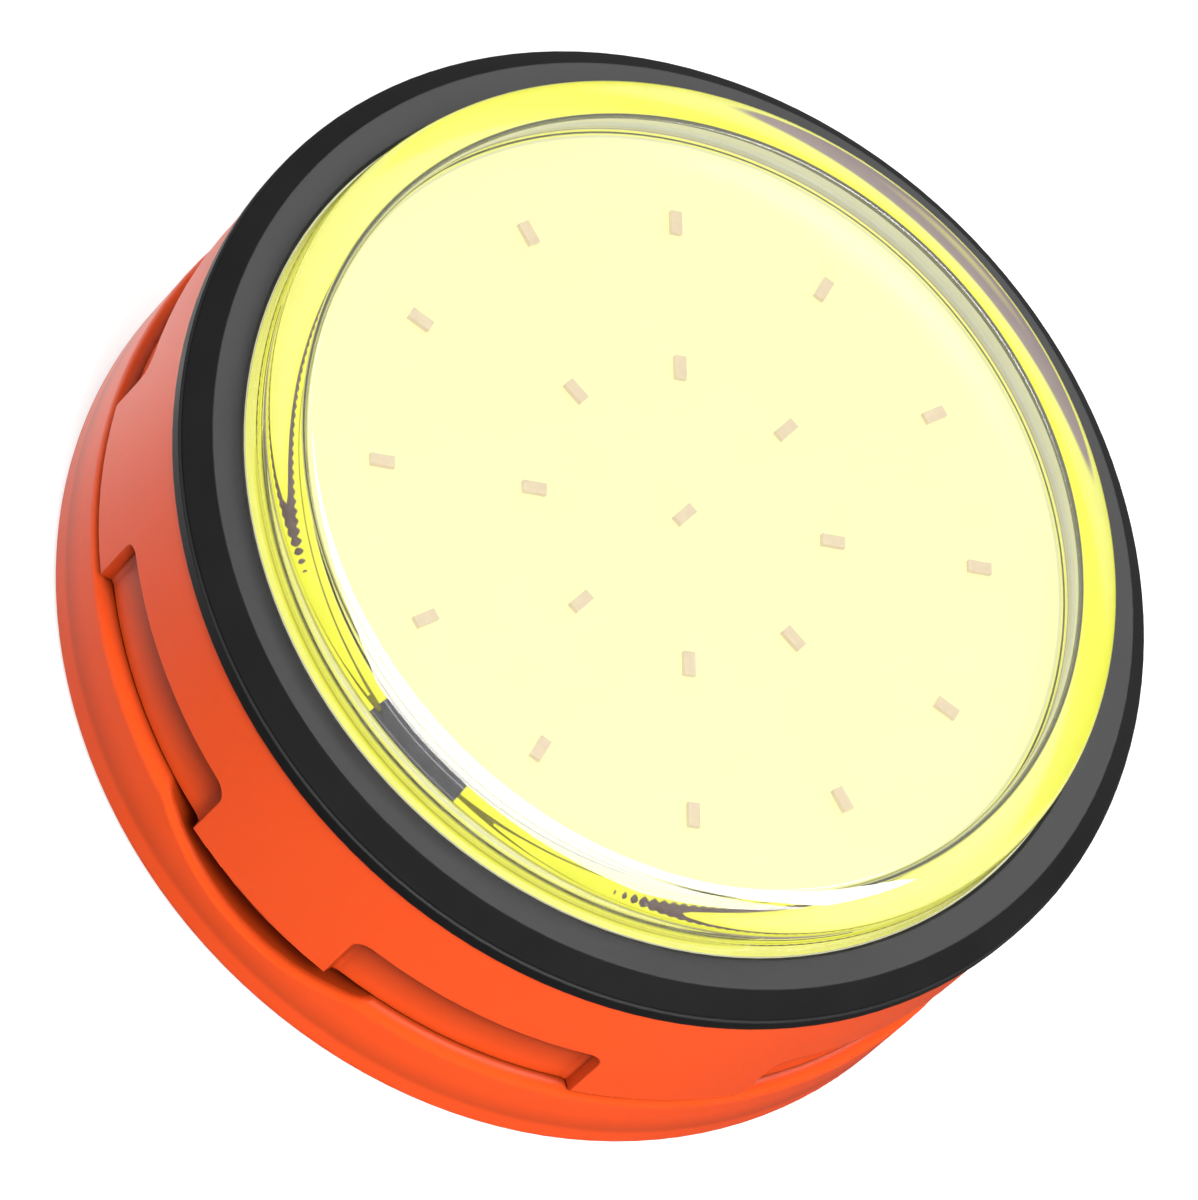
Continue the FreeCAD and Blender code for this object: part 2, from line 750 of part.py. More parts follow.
def make_lens():
    """Thick-walled flat-topped cover with a rounded shoulder and a clamping flange."""
    inner_top = lens_top - lens_top_thickness
    profile = [
        (lens_inner_radius, gasket_top), (flange_radius, gasket_top), (flange_radius, flange_top),
        (lens_radius, flange_top), (lens_radius, lens_top), (0, lens_top),
        (0, inner_top), (lens_inner_radius - lens_inner_chamfer, inner_top),
        (lens_inner_radius, inner_top - lens_inner_chamfer),
    ]
    cover = spin(profile)
    return cover.makeFillet(lens_shoulder, circle_edges(cover, lens_radius, lens_top))


def make_lens_gasket():
    return tube(flange_radius - gasket_width, flange_radius, deck_top, gasket_top)


# --- light engine ---------------------------------------------------------------------
def header_slot(low, high):
    length = header_bar_length / 2 + header_room
    width = header_bar_width / 2 + header_room
    return block(-length, length, -width, width, low, high)


def make_heat_plate():
    plate = disc(board_radius, deck_top, plate_top)
    holes = [disc(screw_radius, deck_top - overrun, plate_top - plate_screw_roof, x, y)
             for x, y in plate_screw_spots()]
    return plate.cut(joined(holes + [header_slot(deck_top - overrun, plate_top + overrun)]))


def make_led_board():
    return disc(board_radius, plate_top, board_top)


def chip_spots():
    """Place and turn of each chip: one in the middle and two rings, long side outwards."""
    spots = [(0, 0, 90 + board_turn)]
    for count, circle, start in ((chip_inner_count, chip_inner_circle, 0),
                                 (chip_outer_count, chip_outer_circle, chip_outer_turn)):
        for index in range(count):
            angle = start + board_turn + index * 360 / count
            bearing = math.radians(angle)
            spots.append((circle * math.cos(bearing), circle * math.sin(bearing), angle))
    return spots


def make_led_chips():
    chips = []
    for x, y, angle in chip_spots():
        chip = block(-chip_length / 2, chip_length / 2, -chip_width / 2, chip_width / 2,
                     board_top, board_top + chip_height)
        chip = turned(chip, angle)
        chip.translate(Vector(x, y, 0))
        chips.append(chip)
    return Part.makeCompound(chips)


def make_plate_screws():
    tip = plate_top - plate_screw_roof - screw_end_gap
    return Part.makeCompound([screw(x, y, deck_bottom - screw_head_height, tip)
                              for x, y in plate_screw_spots()])


def header_pin_spots():
    return [(index - (header_pins - 1) / 2) * header_pitch for index in range(header_pins)]


def header_pin_holes(low, high):
    radius = header_pin_width / math.sqrt(2) + header_pin_slack
    return [disc(radius, low - overrun, high + overrun, x) for x in header_pin_spots()]


def make_board_header():
    """Square pins in a moulded bar, from the driver board up to pads under the LED board."""
    bar = block(-header_bar_length / 2, header_bar_length / 2, -header_bar_width / 2, header_bar_width / 2,
                driver_top, driver_top + header_bar_height)
    half = header_pin_width / 2
    pins = [block(x - half, x + half, -half, half, driver_bottom, plate_top) for x in header_pin_spots()]
    return joined([bar] + pins)


# --- driver board ---------------------------------------------------------------------
def make_driver_board():
    board = disc(driver_radius, driver_bottom, driver_top)
    side = driver_radius - driver_flat
    board = board.common(block(-side, side, -driver_radius, driver_radius, driver_bottom, driver_top))
    holes = [disc(screw_radius + screw_slack, driver_bottom - overrun, driver_top + overrun, x, y)
             for x in (-post_x, post_x) for y in (-post_y, post_y)]
    return board.cut(joined(holes + header_pin_holes(driver_bottom, driver_top)))


def upright_block(x, y, length, width, low, high):
    return block(x - length / 2, x + length / 2, y - width / 2, y + width / 2, low, high)


def make_driver_parts():
    """Coil, capacitors, chips and the cells' lead socket on the driver board."""
    low = driver_top
    coil_x, coil_y = coil_place
    foot = upright_block(coil_x, coil_y, coil_base, coil_base, low, low + coil_base_height)
    winding = disc(coil_radius, low + coil_base_height, low + coil_height, coil_x, coil_y)
    parts = [joined([foot, winding])]
    parts += [disc(capacitor_radius, low, low + capacitor_height, x, y) for x, y in capacitor_places]
    for x, y, length, width, height in driver_chips:
        parts.append(upright_block(x, y, length, width, low, low + height))
    socket = upright_block(socket_x, 0, socket_width, socket_length, low, low + socket_height)
    room = upright_block(socket_x, 0, socket_width - 2 * socket_wall, socket_length - 2 * socket_wall,
                         low + socket_wall, low + socket_height + overrun)
    return Part.makeCompound(parts + [socket.cut(room)])


# --- cell tray ------------------------------------------------------------------------
def cell_rows():
    first = -cell_pitch * (cell_count - 1) / 2
    return [first + index * cell_pitch for index in range(cell_count)]


def cell_cavity(y):
    """Round-backed trough for one cell, open downwards."""
    back = Part.makeCylinder(cavity_radius, 2 * tray_room, Vector(-tray_room, y, cell_z), Vector(1, 0, 0))
    mouth = block(-tray_room, tray_room, y - cavity_radius, y + cavity_radius, tray_bottom - overrun, cell_z)
    return joined([back, mouth])


def make_battery_tray():
    tray = block(-tray_half_length, tray_half_length, -tray_half_width, tray_half_width,
                 tray_bottom, tray_top)
    tray = tray.makeFillet(tray_corner, upright_edges(tray))
    lug_bottom = tray_top - lug_thickness
    lugs = []
    cuts = [cell_cavity(y) for y in cell_rows()]
    for x in (-post_x, post_x):
        lugs.append(block(x - lug_radius, x + lug_radius, -post_y, post_y, lug_bottom, tray_top))
        for y in (-post_y, post_y):
            lugs.append(disc(lug_radius, lug_bottom, tray_top, x, y))
            cuts.append(disc(screw_radius + screw_slack, tray_bottom, tray_top + overrun, x, y))
    side = switch_board_width / 2
    inner = tray_half_length - root
    shelf_top = shelf_z + shelf_thickness
    shelf = block(inner, button_x + switch_board_outer, -side, side, shelf_z, shelf_top)
    shelf = shelf.common(disc(spigot_inner_radius - shelf_wall_gap, shelf_z, shelf_top))
    web = block(inner, button_x, -tray_wall / 2, tray_wall / 2, shelf_z, tray_top)
    tray = joined([tray, shelf, web] + lugs)
    for x, y in switch_screw_spots():
        cuts.append(disc(screw_radius, shelf_z - overrun, shelf_top + overrun, x, y))
    return tray.cut(joined(cuts))


def make_tray_screws():
    head = tray_top - lug_thickness - screw_head_height
    return Part.makeCompound([screw(x, y, head, driver_top + tray_screw_bite)
                              for x in (-post_x, post_x)
                              for y in (-post_y, post_y)])


def upright_edges(shape):
    return [edge for edge in shape.Edges if edge.BoundBox.XLength + edge.BoundBox.YLength < 0.01]


def cell_direction(index):
    return 1 if index % 2 == 0 else -1


def make_battery_cells():
    """Cells side by side, every other one the other way round, nub against its contact."""
    cells = []
    body = cell_length - cell_nub_length
    for index, y in enumerate(cell_rows()):
        way = cell_direction(index)
        start = way * (spring_room - cell_length) / 2
        can = Part.makeCylinder(cell_radius, body, Vector(start, y, cell_z), Vector(way, 0, 0))
        rims = [edge for edge in can.Edges if edge.BoundBox.XLength < 0.01]
        can = can.makeChamfer(cell_edge, rims)
        nub = Part.makeCylinder(cell_nub_radius, cell_nub_length, Vector(start + way * body, y, cell_z),
                                Vector(way, 0, 0))
        cells.append(joined([can, nub]))
    return Part.makeCompound(cells)


def make_contact_plates():
    plates = []
    half = contact_width / 2
    for y in cell_rows():
        for side in (-1, 1):
            near = side * (tray_room - contact_thickness)
            far = side * tray_room
            plates.append(block(min(near, far), max(near, far), y - half, y + half,
                                cell_z - contact_height / 2, cell_z + contact_height / 2))
    return Part.makeCompound(plates)


def make_contact_springs():
    """Bowed leaf between the flat end of each cell and its contact plate."""
    springs = []
    half = spring_height / 2
    thickness = contact_thickness
    bow = spring_room - thickness
    for index, y in enumerate(cell_rows()):
        way = cell_direction(index)
        plate = -way * (tray_room - contact_thickness)

        def at(reach, z):
            return Vector(plate + way * reach, y - spring_width / 2, cell_z + z)

        back = Part.Arc(at(0, -half), at(bow, 0), at(0, half)).toShape()
        front = Part.Arc(at(thickness, half), at(spring_room, 0), at(thickness, -half)).toShape()
        ends = [Part.makeLine(at(0, half), at(thickness, half)),
                Part.makeLine(at(thickness, -half), at(0, -half))]
        outline = Part.Wire([back, ends[0], front, ends[1]])
        springs.append(Part.Face(outline).extrude(Vector(0, spring_width, 0)))
    return Part.makeCompound(springs)


# --- switch ---------------------------------------------------------------------------
def switch_screw_spots():
    reach = switch_board_width / 2 - screw_head_radius - switch_screw_margin
    return [(button_x + switch_screw_shift, side * reach) for side in (-1, 1)]


def make_switch_board():
    half = switch_board_width / 2
    board = block(button_x - switch_board_inner, button_x + switch_board_outer, -half, half,
                  switch_board_z, shelf_z)
    board = board.common(disc(spigot_inner_radius - shelf_wall_gap, switch_board_z, shelf_z))
    holes = [disc(screw_radius + screw_slack, switch_board_z - overrun, shelf_z + overrun, x, y)
             for x, y in switch_screw_spots()]
    return board.cut(joined(holes))


def make_tact_switch():
    half = switch_width / 2
    body = block(button_x - half, button_x + half, -half, half, switch_body_z, switch_board_z)
    body = body.makeFillet(switch_corner, upright_edges(body))
    plunger = disc(switch_plunger_radius, switch_tip, switch_body_z, button_x)
    return joined([body, plunger])


def make_switch_screws():
    head = switch_board_z - screw_head_height
    return Part.makeCompound([screw(x, y, head, shelf_z + shelf_thickness) for x, y in switch_screw_spots()])


# --- all pieces -------------------------------------------------------------------------
pieces = {
    "base_cap": make_base_cap,
    "base_seal": make_base_seal,
    "magnet_cup": make_magnet_cup,
    "magnet_disc": make_magnet_disc,
    "magnet_screw": make_magnet_screw,
    "hook_pin": make_hook_pin,
    "hanging_hook": make_hanging_hook,
    "button_pad": make_button_pad,
    "button_stem": make_button_stem,
    "button_retainer": make_button_retainer,
    "retainer_screws": make_retainer_screws,
    "housing": make_housing,
    "bezel_ring": make_bezel_ring,
    "lens": make_lens,
    "lens_gasket": make_lens_gasket,
    "heat_plate": make_heat_plate,
    "led_board": make_led_board,
    "led_chips": make_led_chips,
    "plate_screws": make_plate_screws,
    "board_header": make_board_header,
    "driver_board": make_driver_board,
    "driver_parts": make_driver_parts,
    "battery_tray": make_battery_tray,
    "tray_screws": make_tray_screws,
    "battery_cells": make_battery_cells,
    "contact_plates": make_contact_plates,
    "contact_springs": make_contact_springs,
    "switch_board": make_switch_board,
    "tact_switch": make_tact_switch,
    "switch_screws": make_switch_screws,
}

for name, make in pieces.items():
    save(name, make())
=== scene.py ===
import math
import bmesh
import bpy
from mathutils import Matrix, Vector


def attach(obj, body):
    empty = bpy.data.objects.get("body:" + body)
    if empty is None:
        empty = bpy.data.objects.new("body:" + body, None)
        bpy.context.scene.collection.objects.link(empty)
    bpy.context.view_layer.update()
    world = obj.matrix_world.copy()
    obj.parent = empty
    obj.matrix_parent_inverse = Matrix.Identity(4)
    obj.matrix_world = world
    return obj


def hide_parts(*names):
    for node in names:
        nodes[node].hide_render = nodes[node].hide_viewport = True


# LED safety flare puck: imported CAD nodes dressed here, and the parts seen through the lens modelled here.
# Metres, +Z from the magnet base to the lens.
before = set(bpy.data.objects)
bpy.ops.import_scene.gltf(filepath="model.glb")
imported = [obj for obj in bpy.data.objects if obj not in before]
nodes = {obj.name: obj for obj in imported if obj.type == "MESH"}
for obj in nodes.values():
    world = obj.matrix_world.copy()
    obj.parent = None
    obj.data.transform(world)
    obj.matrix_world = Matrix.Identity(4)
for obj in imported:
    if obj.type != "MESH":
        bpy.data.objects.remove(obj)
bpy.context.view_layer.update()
print("frame loaded,", len(nodes), "nodes")


# small helpers
def fromHex(code):
    # sRGB hex to the linear values that the shaders want
    parts = [int(code[i:i + 2], 16) / 255 for i in (1, 3, 5)]
    return tuple(p / 12.92 if p <= 0.04045 else ((p + 0.055) / 1.055) ** 2.4 for p in parts) + (1.0,)


def startMaterial(name):
    mat = bpy.data.materials.new(name)
    mat.use_nodes = True
    mat.node_tree.nodes.clear()
    return mat, mat.node_tree


def addNode(tree, kind, settings=None, links=None):
    # one node with its settings, and links given as {input: (node, output)}
    node = tree.nodes.new(kind)
    for key, value in (settings or {}).items():
        if isinstance(key, int) or key in node.inputs:
            node.inputs[key].default_value = value
        else:
            setattr(node, key, value)
    for key, (source, output) in (links or {}).items():
        tree.links.new(source.outputs[output], node.inputs[key])
    return node


def closeMaterial(tree, shader):
    addNode(tree, "ShaderNodeOutputMaterial", links={"Surface": (shader, 0)})
    across = 0
    for node in tree.nodes:  # a readable row in the shader editor
        node.location = (across, 0)
        across += 190


grainHeight = 0.00005  # metres from the bottom of a grain to its top


def grainBump(tree, place, size):
    # fine surface grain over slightly rounded edges; grain and edge in mm, depth 0 to 1
    speck = addNode(tree, "ShaderNodeTexNoise", {"Scale": 1000 / size["grain"], "Detail": 2.0},
                    {"Vector": (place, "Object")})
    rounded = addNode(tree, "ShaderNodeBevel", {"samples": 4, "Radius": size["edge"] / 1000})
    return addNode(tree, "ShaderNodeBump", {"Strength": size["depth"], "Distance": grainHeight},
                   {"Height": (speck, "Fac"), "Normal": (rounded, "Normal")})


def dress(material, *names):
    for name in names:
        piece = nodes[name]
        piece.data.materials.clear()
        piece.data.materials.append(material)


# camera
cameraSet = {
    "place": (0.0213, -0.5762, 0.8342),
    "right": (0.6728, 0.6130, 0.4143),
    "up": (-0.7395, 0.5412, 0.4002),
    "lens": 300.0,
    "sensor": 36.0,
    "near": 0.05,
    "far": 20.0,
}


def placeCamera():
    data = bpy.data.cameras.new("studioCamera")
    data.lens = cameraSet["lens"]
    data.sensor_width = cameraSet["sensor"]
    data.clip_start, data.clip_end = cameraSet["near"], cameraSet["far"]
    camera = bpy.data.objects.new("studioCamera", data)
    bpy.context.scene.collection.objects.link(camera)
    right = Vector(cameraSet["right"]).normalized()
    up = Vector(cameraSet["up"])
    up = (up - right * up.dot(right)).normalized()
    turn = Matrix((right, up, right.cross(up))).transposed()
    camera.matrix_world = Matrix.Translation(cameraSet["place"]) @ turn.to_4x4()
    bpy.context.scene.camera = camera


placeCamera()
print("camera placed")

# housing and base cap
# the shade tone and the reach, gather, foot and pocket entries set the painted shade
orangeSet = {"body": "#F9561C", "flow": "#F34F15", "shadeTone": "#4A1405", "cloud": 33.0, "grain": 0.35,
             "depth": 0.04, "edge": 0.25, "roughness": 0.34, "level": 0.22, "reach": 0.008, "gather": 1.6,
             "footLow": 0.003, "footHigh": 0.006, "pocketRadius": 50.85, "pocketSpread": 0.4,
             "pocketLow": 0.0135, "pocketHigh": 0.0204, "pocketShade": 0.72}


def mouldedAbs():
    # ABS dyed safety orange, injection moulded in a spark-eroded tool: one even colour with an even satin
    # grain, and painted shade from an occlusion test where walls stand close together, faded out near the
    # foot
    size = orangeSet
    mat, tree = startMaterial("orangeMouldedAbs")
    place = addNode(tree, "ShaderNodeTexCoord")
    cloud = addNode(tree, "ShaderNodeTexNoise", {"Scale": 1000 / size["cloud"], "Detail": 2.0},
                    {"Vector": (place, "Object")})
    body = addNode(tree, "ShaderNodeMix", {"data_type": "RGBA", 6: fromHex(size["body"]),
                                           7: fromHex(size["flow"])}, {0: (cloud, "Fac")})
    # painted shade: occlusion darkens the colour towards the shade tone in crevices and in gaps between parts
    openness = addNode(tree, "ShaderNodeAmbientOcclusion", {"samples": 8, "Distance": size["reach"]})
    gather = addNode(tree, "ShaderNodeMath", {"operation": "POWER", 1: size["gather"]}, {0: (openness, "AO")})
    axes = addNode(tree, "ShaderNodeSeparateXYZ", links={0: (place, "Object")})
    # the painted shade fades out near the foot, where the floor stands close
    foot = addNode(tree, "ShaderNodeMapRange", {"From Min": size["footHigh"], "From Max": size["footLow"]},
                   {"Value": (axes, "Z")})
    cleanAndUnshaded = addNode(tree, "ShaderNodeMath", {"operation": "MAXIMUM"}, {0: (gather, 0), 1: (foot, 0)})
    # painted shade on the finger pocket floors, darker towards their upper edge
    flat = addNode(tree, "ShaderNodeVectorMath", {"operation": "MULTIPLY", 1: (1000, 1000, 0)},
                   {0: (place, "Object")})
    radius = addNode(tree, "ShaderNodeVectorMath", {"operation": "LENGTH"}, {0: (flat, 0)})
    isPocket = addNode(tree, "ShaderNodeMath", {"operation": "COMPARE", 1: size["pocketRadius"],
                                                2: size["pocketSpread"]}, {0: (radius, "Value")})
    rise = addNode(tree, "ShaderNodeMapRange", {"From Min": size["pocketLow"], "From Max": size["pocketHigh"],
                                                "To Min": 1.0, "To Max": 1 - size["pocketShade"]},
                   {"Value": (axes, "Z")})
    kept = addNode(tree, "ShaderNodeMix", {2: 1.0}, {0: (isPocket, 0), 3: (rise, 0)})
    both = addNode(tree, "ShaderNodeMath", {"operation": "MULTIPLY"}, {0: (cleanAndUnshaded, 0), 1: (kept, 0)})
    skinColour = addNode(tree, "ShaderNodeMix", {"data_type": "RGBA", 6: fromHex(size["shadeTone"])},
                         {0: (both, 0), 7: (body, 2)})
    bump = grainBump(tree, place, size)
    skin = addNode(tree, "ShaderNodeBsdfPrincipled",
                   {"Roughness": size["roughness"], "IOR": 1.5, "Specular IOR Level": size["level"]},
                   {"Base Color": (skinColour, 2), "Normal": (bump, "Normal")})
    closeMaterial(tree, skin)
    return mat


dress(mouldedAbs(), "housing", "base_cap")
print("housing and base cap dressed")

# clamp ring and hanging hook
blackSet = {"body": "#131314", "worn": "#1A1A1B", "cloud": 9.0, "grain": 0.33, "depth": 0.05, "edge": 0.2,
            "smooth": 0.44, "rough": 0.52, "level": 0.22}


def blackAbs():
    # black ABS from the same kind of tool: deep grey-black, slightly greyer and duller in drifting patches
    size = blackSet
    mat, tree = startMaterial("blackMouldedAbs")
    place = addNode(tree, "ShaderNodeTexCoord")
    cloud = addNode(tree, "ShaderNodeTexNoise", {"Scale": 1000 / size["cloud"], "Detail": 3.0},
                    {"Vector": (place, "Object")})
    body = addNode(tree, "ShaderNodeMix", {"data_type": "RGBA", 6: fromHex(size["body"]),
                                           7: fromHex(size["worn"])}, {0: (cloud, "Fac")})
    dull = addNode(tree, "ShaderNodeMapRange", {"From Min": 0.3, "From Max": 0.7, "To Min": size["smooth"],
                                                "To Max": size["rough"]}, {"Value": (cloud, "Fac")})
    bump = grainBump(tree, place, size)
    skin = addNode(tree, "ShaderNodeBsdfPrincipled", {"IOR": 1.5, "Specular IOR Level": size["level"]},
                   {"Base Color": (body, 2), "Roughness": (dull, 0), "Normal": (bump, "Normal")})
    closeMaterial(tree, skin)
    return mat


dress(blackAbs(), "bezel_ring", "hanging_hook")
print("clamp ring and hook dressed")


# modelling helpers for the round pieces under the clamp ring
def openFaces(piece):
    # edit mode with nothing selected, ready to pick faces by their place
    bpy.context.view_layer.objects.active = piece
    bpy.ops.object.mode_set(mode="EDIT")
    bpy.ops.mesh.select_mode(type="FACE")
    bpy.ops.mesh.select_all(action="DESELECT")
    return bmesh.from_edit_mesh(piece.data)


def pick(piece, parts, test):
    for part in parts:
        part.select = test(part)
    bmesh.from_edit_mesh(piece.data).select_flush_mode()
    bmesh.update_edit_mesh(piece.data)


def closeFaces():
    bpy.ops.mesh.select_all(action="SELECT")
    bpy.ops.mesh.normals_make_consistent(inside=False)
    bpy.ops.object.mode_set(mode="OBJECT")


def startDisc(name, sides, radius, low, high):
    bpy.ops.object.select_all(action="DESELECT")
    bpy.ops.mesh.primitive_cylinder_add(vertices=sides, radius=radius, depth=high - low,
                                        location=(0, 0, (low + high) / 2))
    piece = bpy.context.object
    piece.name = name
    bpy.ops.object.transform_apply(location=True)
    return piece


def turnRing(name, sides, inner, outer, low, high):
    # a disc with both flat ends inset and bridged into a bore
    piece = startDisc(name, sides, outer, low, high)
    mesh = openFaces(piece)
    pick(piece, mesh.faces, lambda face: abs(face.normal.z) > 0.9)
    bpy.ops.mesh.inset(thickness=outer - inner)
    bpy.ops.mesh.bridge_edge_loops()
    closeFaces()
    return piece


def keepArc(piece, middle, halfAngle):
    # cut a ring down to an arc about one bearing in degrees, and close its ends
    mesh = openFaces(piece)

    def isOutside(face):
        spot = face.calc_center_median()
        turn = math.degrees(math.atan2(spot.y, spot.x)) - middle
        return abs((turn + 180) % 360 - 180) > halfAngle

    pick(piece, mesh.faces, isOutside)
    bpy.ops.mesh.delete(type="FACE")
    bpy.ops.mesh.select_all(action="SELECT")
    bpy.ops.mesh.fill_holes(sides=4)
    closeFaces()


smoothBelow = 32  # degrees; sharper edges stay sharp


def finishPiece(piece, body, material):
    bpy.ops.object.select_all(action="DESELECT")
    piece.select_set(True)
    bpy.context.view_layer.objects.active = piece
    bpy.ops.object.shade_smooth_by_angle(angle=math.radians(smoothBelow))
    piece.data.materials.clear()
    piece.data.materials.append(material)
    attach(piece, body)


def ringBands(tree, place, bands):
    # colour by distance from the axis; bands are (radius in mm, hex)
    flat = addNode(tree, "ShaderNodeVectorMath", {"operation": "MULTIPLY", 1: (1000, 1000, 0)},
                   {0: (place, "Object")})
    radius = addNode(tree, "ShaderNodeVectorMath", {"operation": "LENGTH"}, {0: (flat, 0)})
    return rampBands(tree, radius, "Value", bands)


def rampBands(tree, source, output, bands):
    low, high = bands[0][0], bands[-1][0]
    spread = addNode(tree, "ShaderNodeMapRange", {"From Min": low, "From Max": high},
                     {"Value": (source, output)})
    ramp = addNode(tree, "ShaderNodeValToRGB", links={"Fac": (spread, 0)})
    stops = ramp.color_ramp.elements
    while len(stops) < len(bands):
        stops.new(0.5)
    for stop, (where, colour) in zip(stops, bands):
        stop.position = (where - low) / (high - low)
    for stop, (where, colour) in zip(stops, bands):
        stop.color = fromHex(colour)
    return ramp


def twoTone(tree, place, size):
    # two close tones in a fine fleck; fleck in mm
    fleck = addNode(tree, "ShaderNodeTexNoise", {"Scale": 1000 / size["fleck"], "Detail": size["detail"]},
                    {"Vector": (place, "Object")})
    return addNode(tree, "ShaderNodeMix", {"data_type": "RGBA", 6: fromHex(size["pale"]),
                                           7: fromHex(size["deep"])}, {0: (fleck, "Fac")}), 2


litSet = {"unlit": "#101010", "ior": 1.41}


def litSkin(name, settings, colourOf):
    # a pale part that glows, mottled a little as moulded silicone is: painted light standing in for the LEDs'
    # light
    mat, tree = startMaterial(name)
    place = addNode(tree, "ShaderNodeTexCoord")
    colour, output = colourOf(tree, place)
    cloud = addNode(tree, "ShaderNodeTexNoise", {"Scale": 1000 / settings["cloud"], "Detail": 2.0},
                    {"Vector": (place, "Object")})
    level = addNode(tree, "ShaderNodeMapRange", {"From Min": 0.3, "From Max": 0.7,
                                                 "To Min": 1 - settings["mottle"],
                                                 "To Max": 1 + settings["mottle"]}, {"Value": (cloud, "Fac")})
    # only on the LED packages is the glow their own light; on every other part it is painted light
    skin = addNode(tree, "ShaderNodeBsdfPrincipled", {"Base Color": fromHex(litSet["unlit"]),
                                                      "IOR": litSet["ior"],
                                                      "Roughness": settings["roughness"]},
                   {"Emission Color": (colour, output), "Emission Strength": (level, 0)})
    closeMaterial(tree, skin)
    return mat


# lens
lensSet = {"sides": 480, "flange": 0.0474, "radius": 0.0464, "bottom": 0.0335, "flangeTop": 0.0347,
           "landTop": 0.0359, "wave": 7.0, "waveDepth": 0.02, "waveHeight": 0.0001, "flatEdge": 0.0002,
           "shoulder": {"side": 0.046, "top": 0.04175, "wide": 0.0044, "high": 0.0023, "steps": 18},
           "hollow": {"side": 0.0422, "top": 0.03975, "wide": 0.0008, "high": 0.0008, "steps": 8}}


def clearPolycarbonate():
    # clear moulded polycarbonate: glass-like, with the faint long waves of a thick moulding as it cools
    mat, tree = startMaterial("clearPolycarbonate")
    place = addNode(tree, "ShaderNodeTexCoord")
    wave = addNode(tree, "ShaderNodeTexNoise", {"Scale": 1000 / lensSet["wave"], "Detail": 1.0},
                   {"Vector": (place, "Object")})
    bump = addNode(tree, "ShaderNodeBump",
                   {"Strength": lensSet["waveDepth"], "Distance": lensSet["waveHeight"]},
                   {"Height": (wave, "Fac")})
    skin = addNode(tree, "ShaderNodeBsdfPrincipled",
                   {"Base Color": (1, 1, 1, 1), "Roughness": 0.0, "IOR": 1.5, "Transmission Weight": 1.0},
                   {"Normal": (bump, "Normal")})
    closeMaterial(tree, skin)
    return mat


def roundOver(reach, height, corner):
    # raise the picked face to a corner and over it in quarter-ellipse steps, then leave a narrow flat inside
    for step in range(corner["steps"] + 1):
        turn = math.radians(90 * step / corner["steps"])
        newReach = corner["side"] - corner["wide"] * (1 - math.cos(turn))
        newHeight = corner["top"] - corner["high"] * (1 - math.sin(turn))
        bpy.ops.mesh.extrude_region_move(TRANSFORM_OT_translate={"value": (0, 0, newHeight - height)})
        bpy.ops.transform.resize(value=(newReach / reach, newReach / reach, 1), center_override=(0, 0, 0))
        reach, height = newReach, newHeight
    bpy.ops.mesh.inset(thickness=lensSet["flatEdge"])


def mouldLens():
    # flange, upright land for the clamp ring, tapered side with a wide low shoulder, then the hollow below
    size = lensSet
    piece = startDisc("clearLens", size["sides"], size["flange"], size["bottom"], size["flangeTop"])
    mesh = openFaces(piece)
    pick(piece, mesh.faces, lambda face: face.normal.z > 0.9)
    bpy.ops.mesh.inset(thickness=size["flange"] - size["radius"])
    land = size["landTop"] - size["flangeTop"]
    bpy.ops.mesh.extrude_region_move(TRANSFORM_OT_translate={"value": (0, 0, land)})
    roundOver(size["radius"], size["landTop"], size["shoulder"])
    bpy.ops.object.mode_set(mode="OBJECT")
    mesh = openFaces(piece)
    pick(piece, mesh.faces, lambda face: face.normal.z < -0.9)
    bpy.ops.mesh.inset(thickness=size["flange"] - size["hollow"]["side"])
    roundOver(size["hollow"]["side"], size["bottom"], size["hollow"])
    closeFaces()
    finishPiece(piece, "light_unit", clearPolycarbonate())
    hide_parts("lens")


mouldLens()
print("lens moulded")

# gasket under the lens
gasketSet = {"sides": 240, "inner": 0.04217, "outer": 0.0474, "low": 0.0326, "top": 0.033505,
             "cloud": 4.0, "mottle": 0.03, "roughness": 0.5,
             "bands": [(42.0, "#FDFD86"), (43.3, "#FDFD78"), (43.6, "#FBFC48"), (44.3, "#FBFC3C"),
                       (44.9, "#FDFE48"), (45.15, "#FCFD70"), (45.64, "#FCFD84"), (45.72, "#A5968F"),
                       (46.04, "#9C8C8A"), (46.11, "#C0B68A"), (46.15, "#E8E478"), (46.3, "#B4B596"),
                       (47.4, "#C4C5A6")]}


def layGasket():
    # flat ring of translucent yellow silicone; its glow is painted light standing in for the LEDs lighting it
    # from the side, and its yellow, purple and grey bands by radius are painted light and reflection seen
    # through the lens rim
    size = gasketSet
    piece = turnRing("yellowGasket", size["sides"], size["inner"], size["outer"], size["low"], size["top"])
    skin = litSkin("yellowSilicone", size,
                   lambda tree, place: (ringBands(tree, place, size["bands"]), "Color"))
    finishPiece(piece, "light_unit", skin)
    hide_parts("lens_gasket")


layGasket()

collarSet = {"sides": 240, "inner": 0.04195, "outer": 0.04215, "low": 0.0328, "top": 0.0353,
             "cloud": 3.0, "mottle": 0.03, "roughness": 0.5,
             "bands": [(32.6, "#8E8C22"), (33.05, "#9A982A"), (33.2, "#E2E248"), (33.7, "#F4F44A"),
                       (34.0, "#C2C034"), (34.12, "#A6A428"), (34.3, "#E8E850"), (34.9, "#EEEE70"),
                       (35.12, "#CECE50"), (35.3, "#45430F")]}


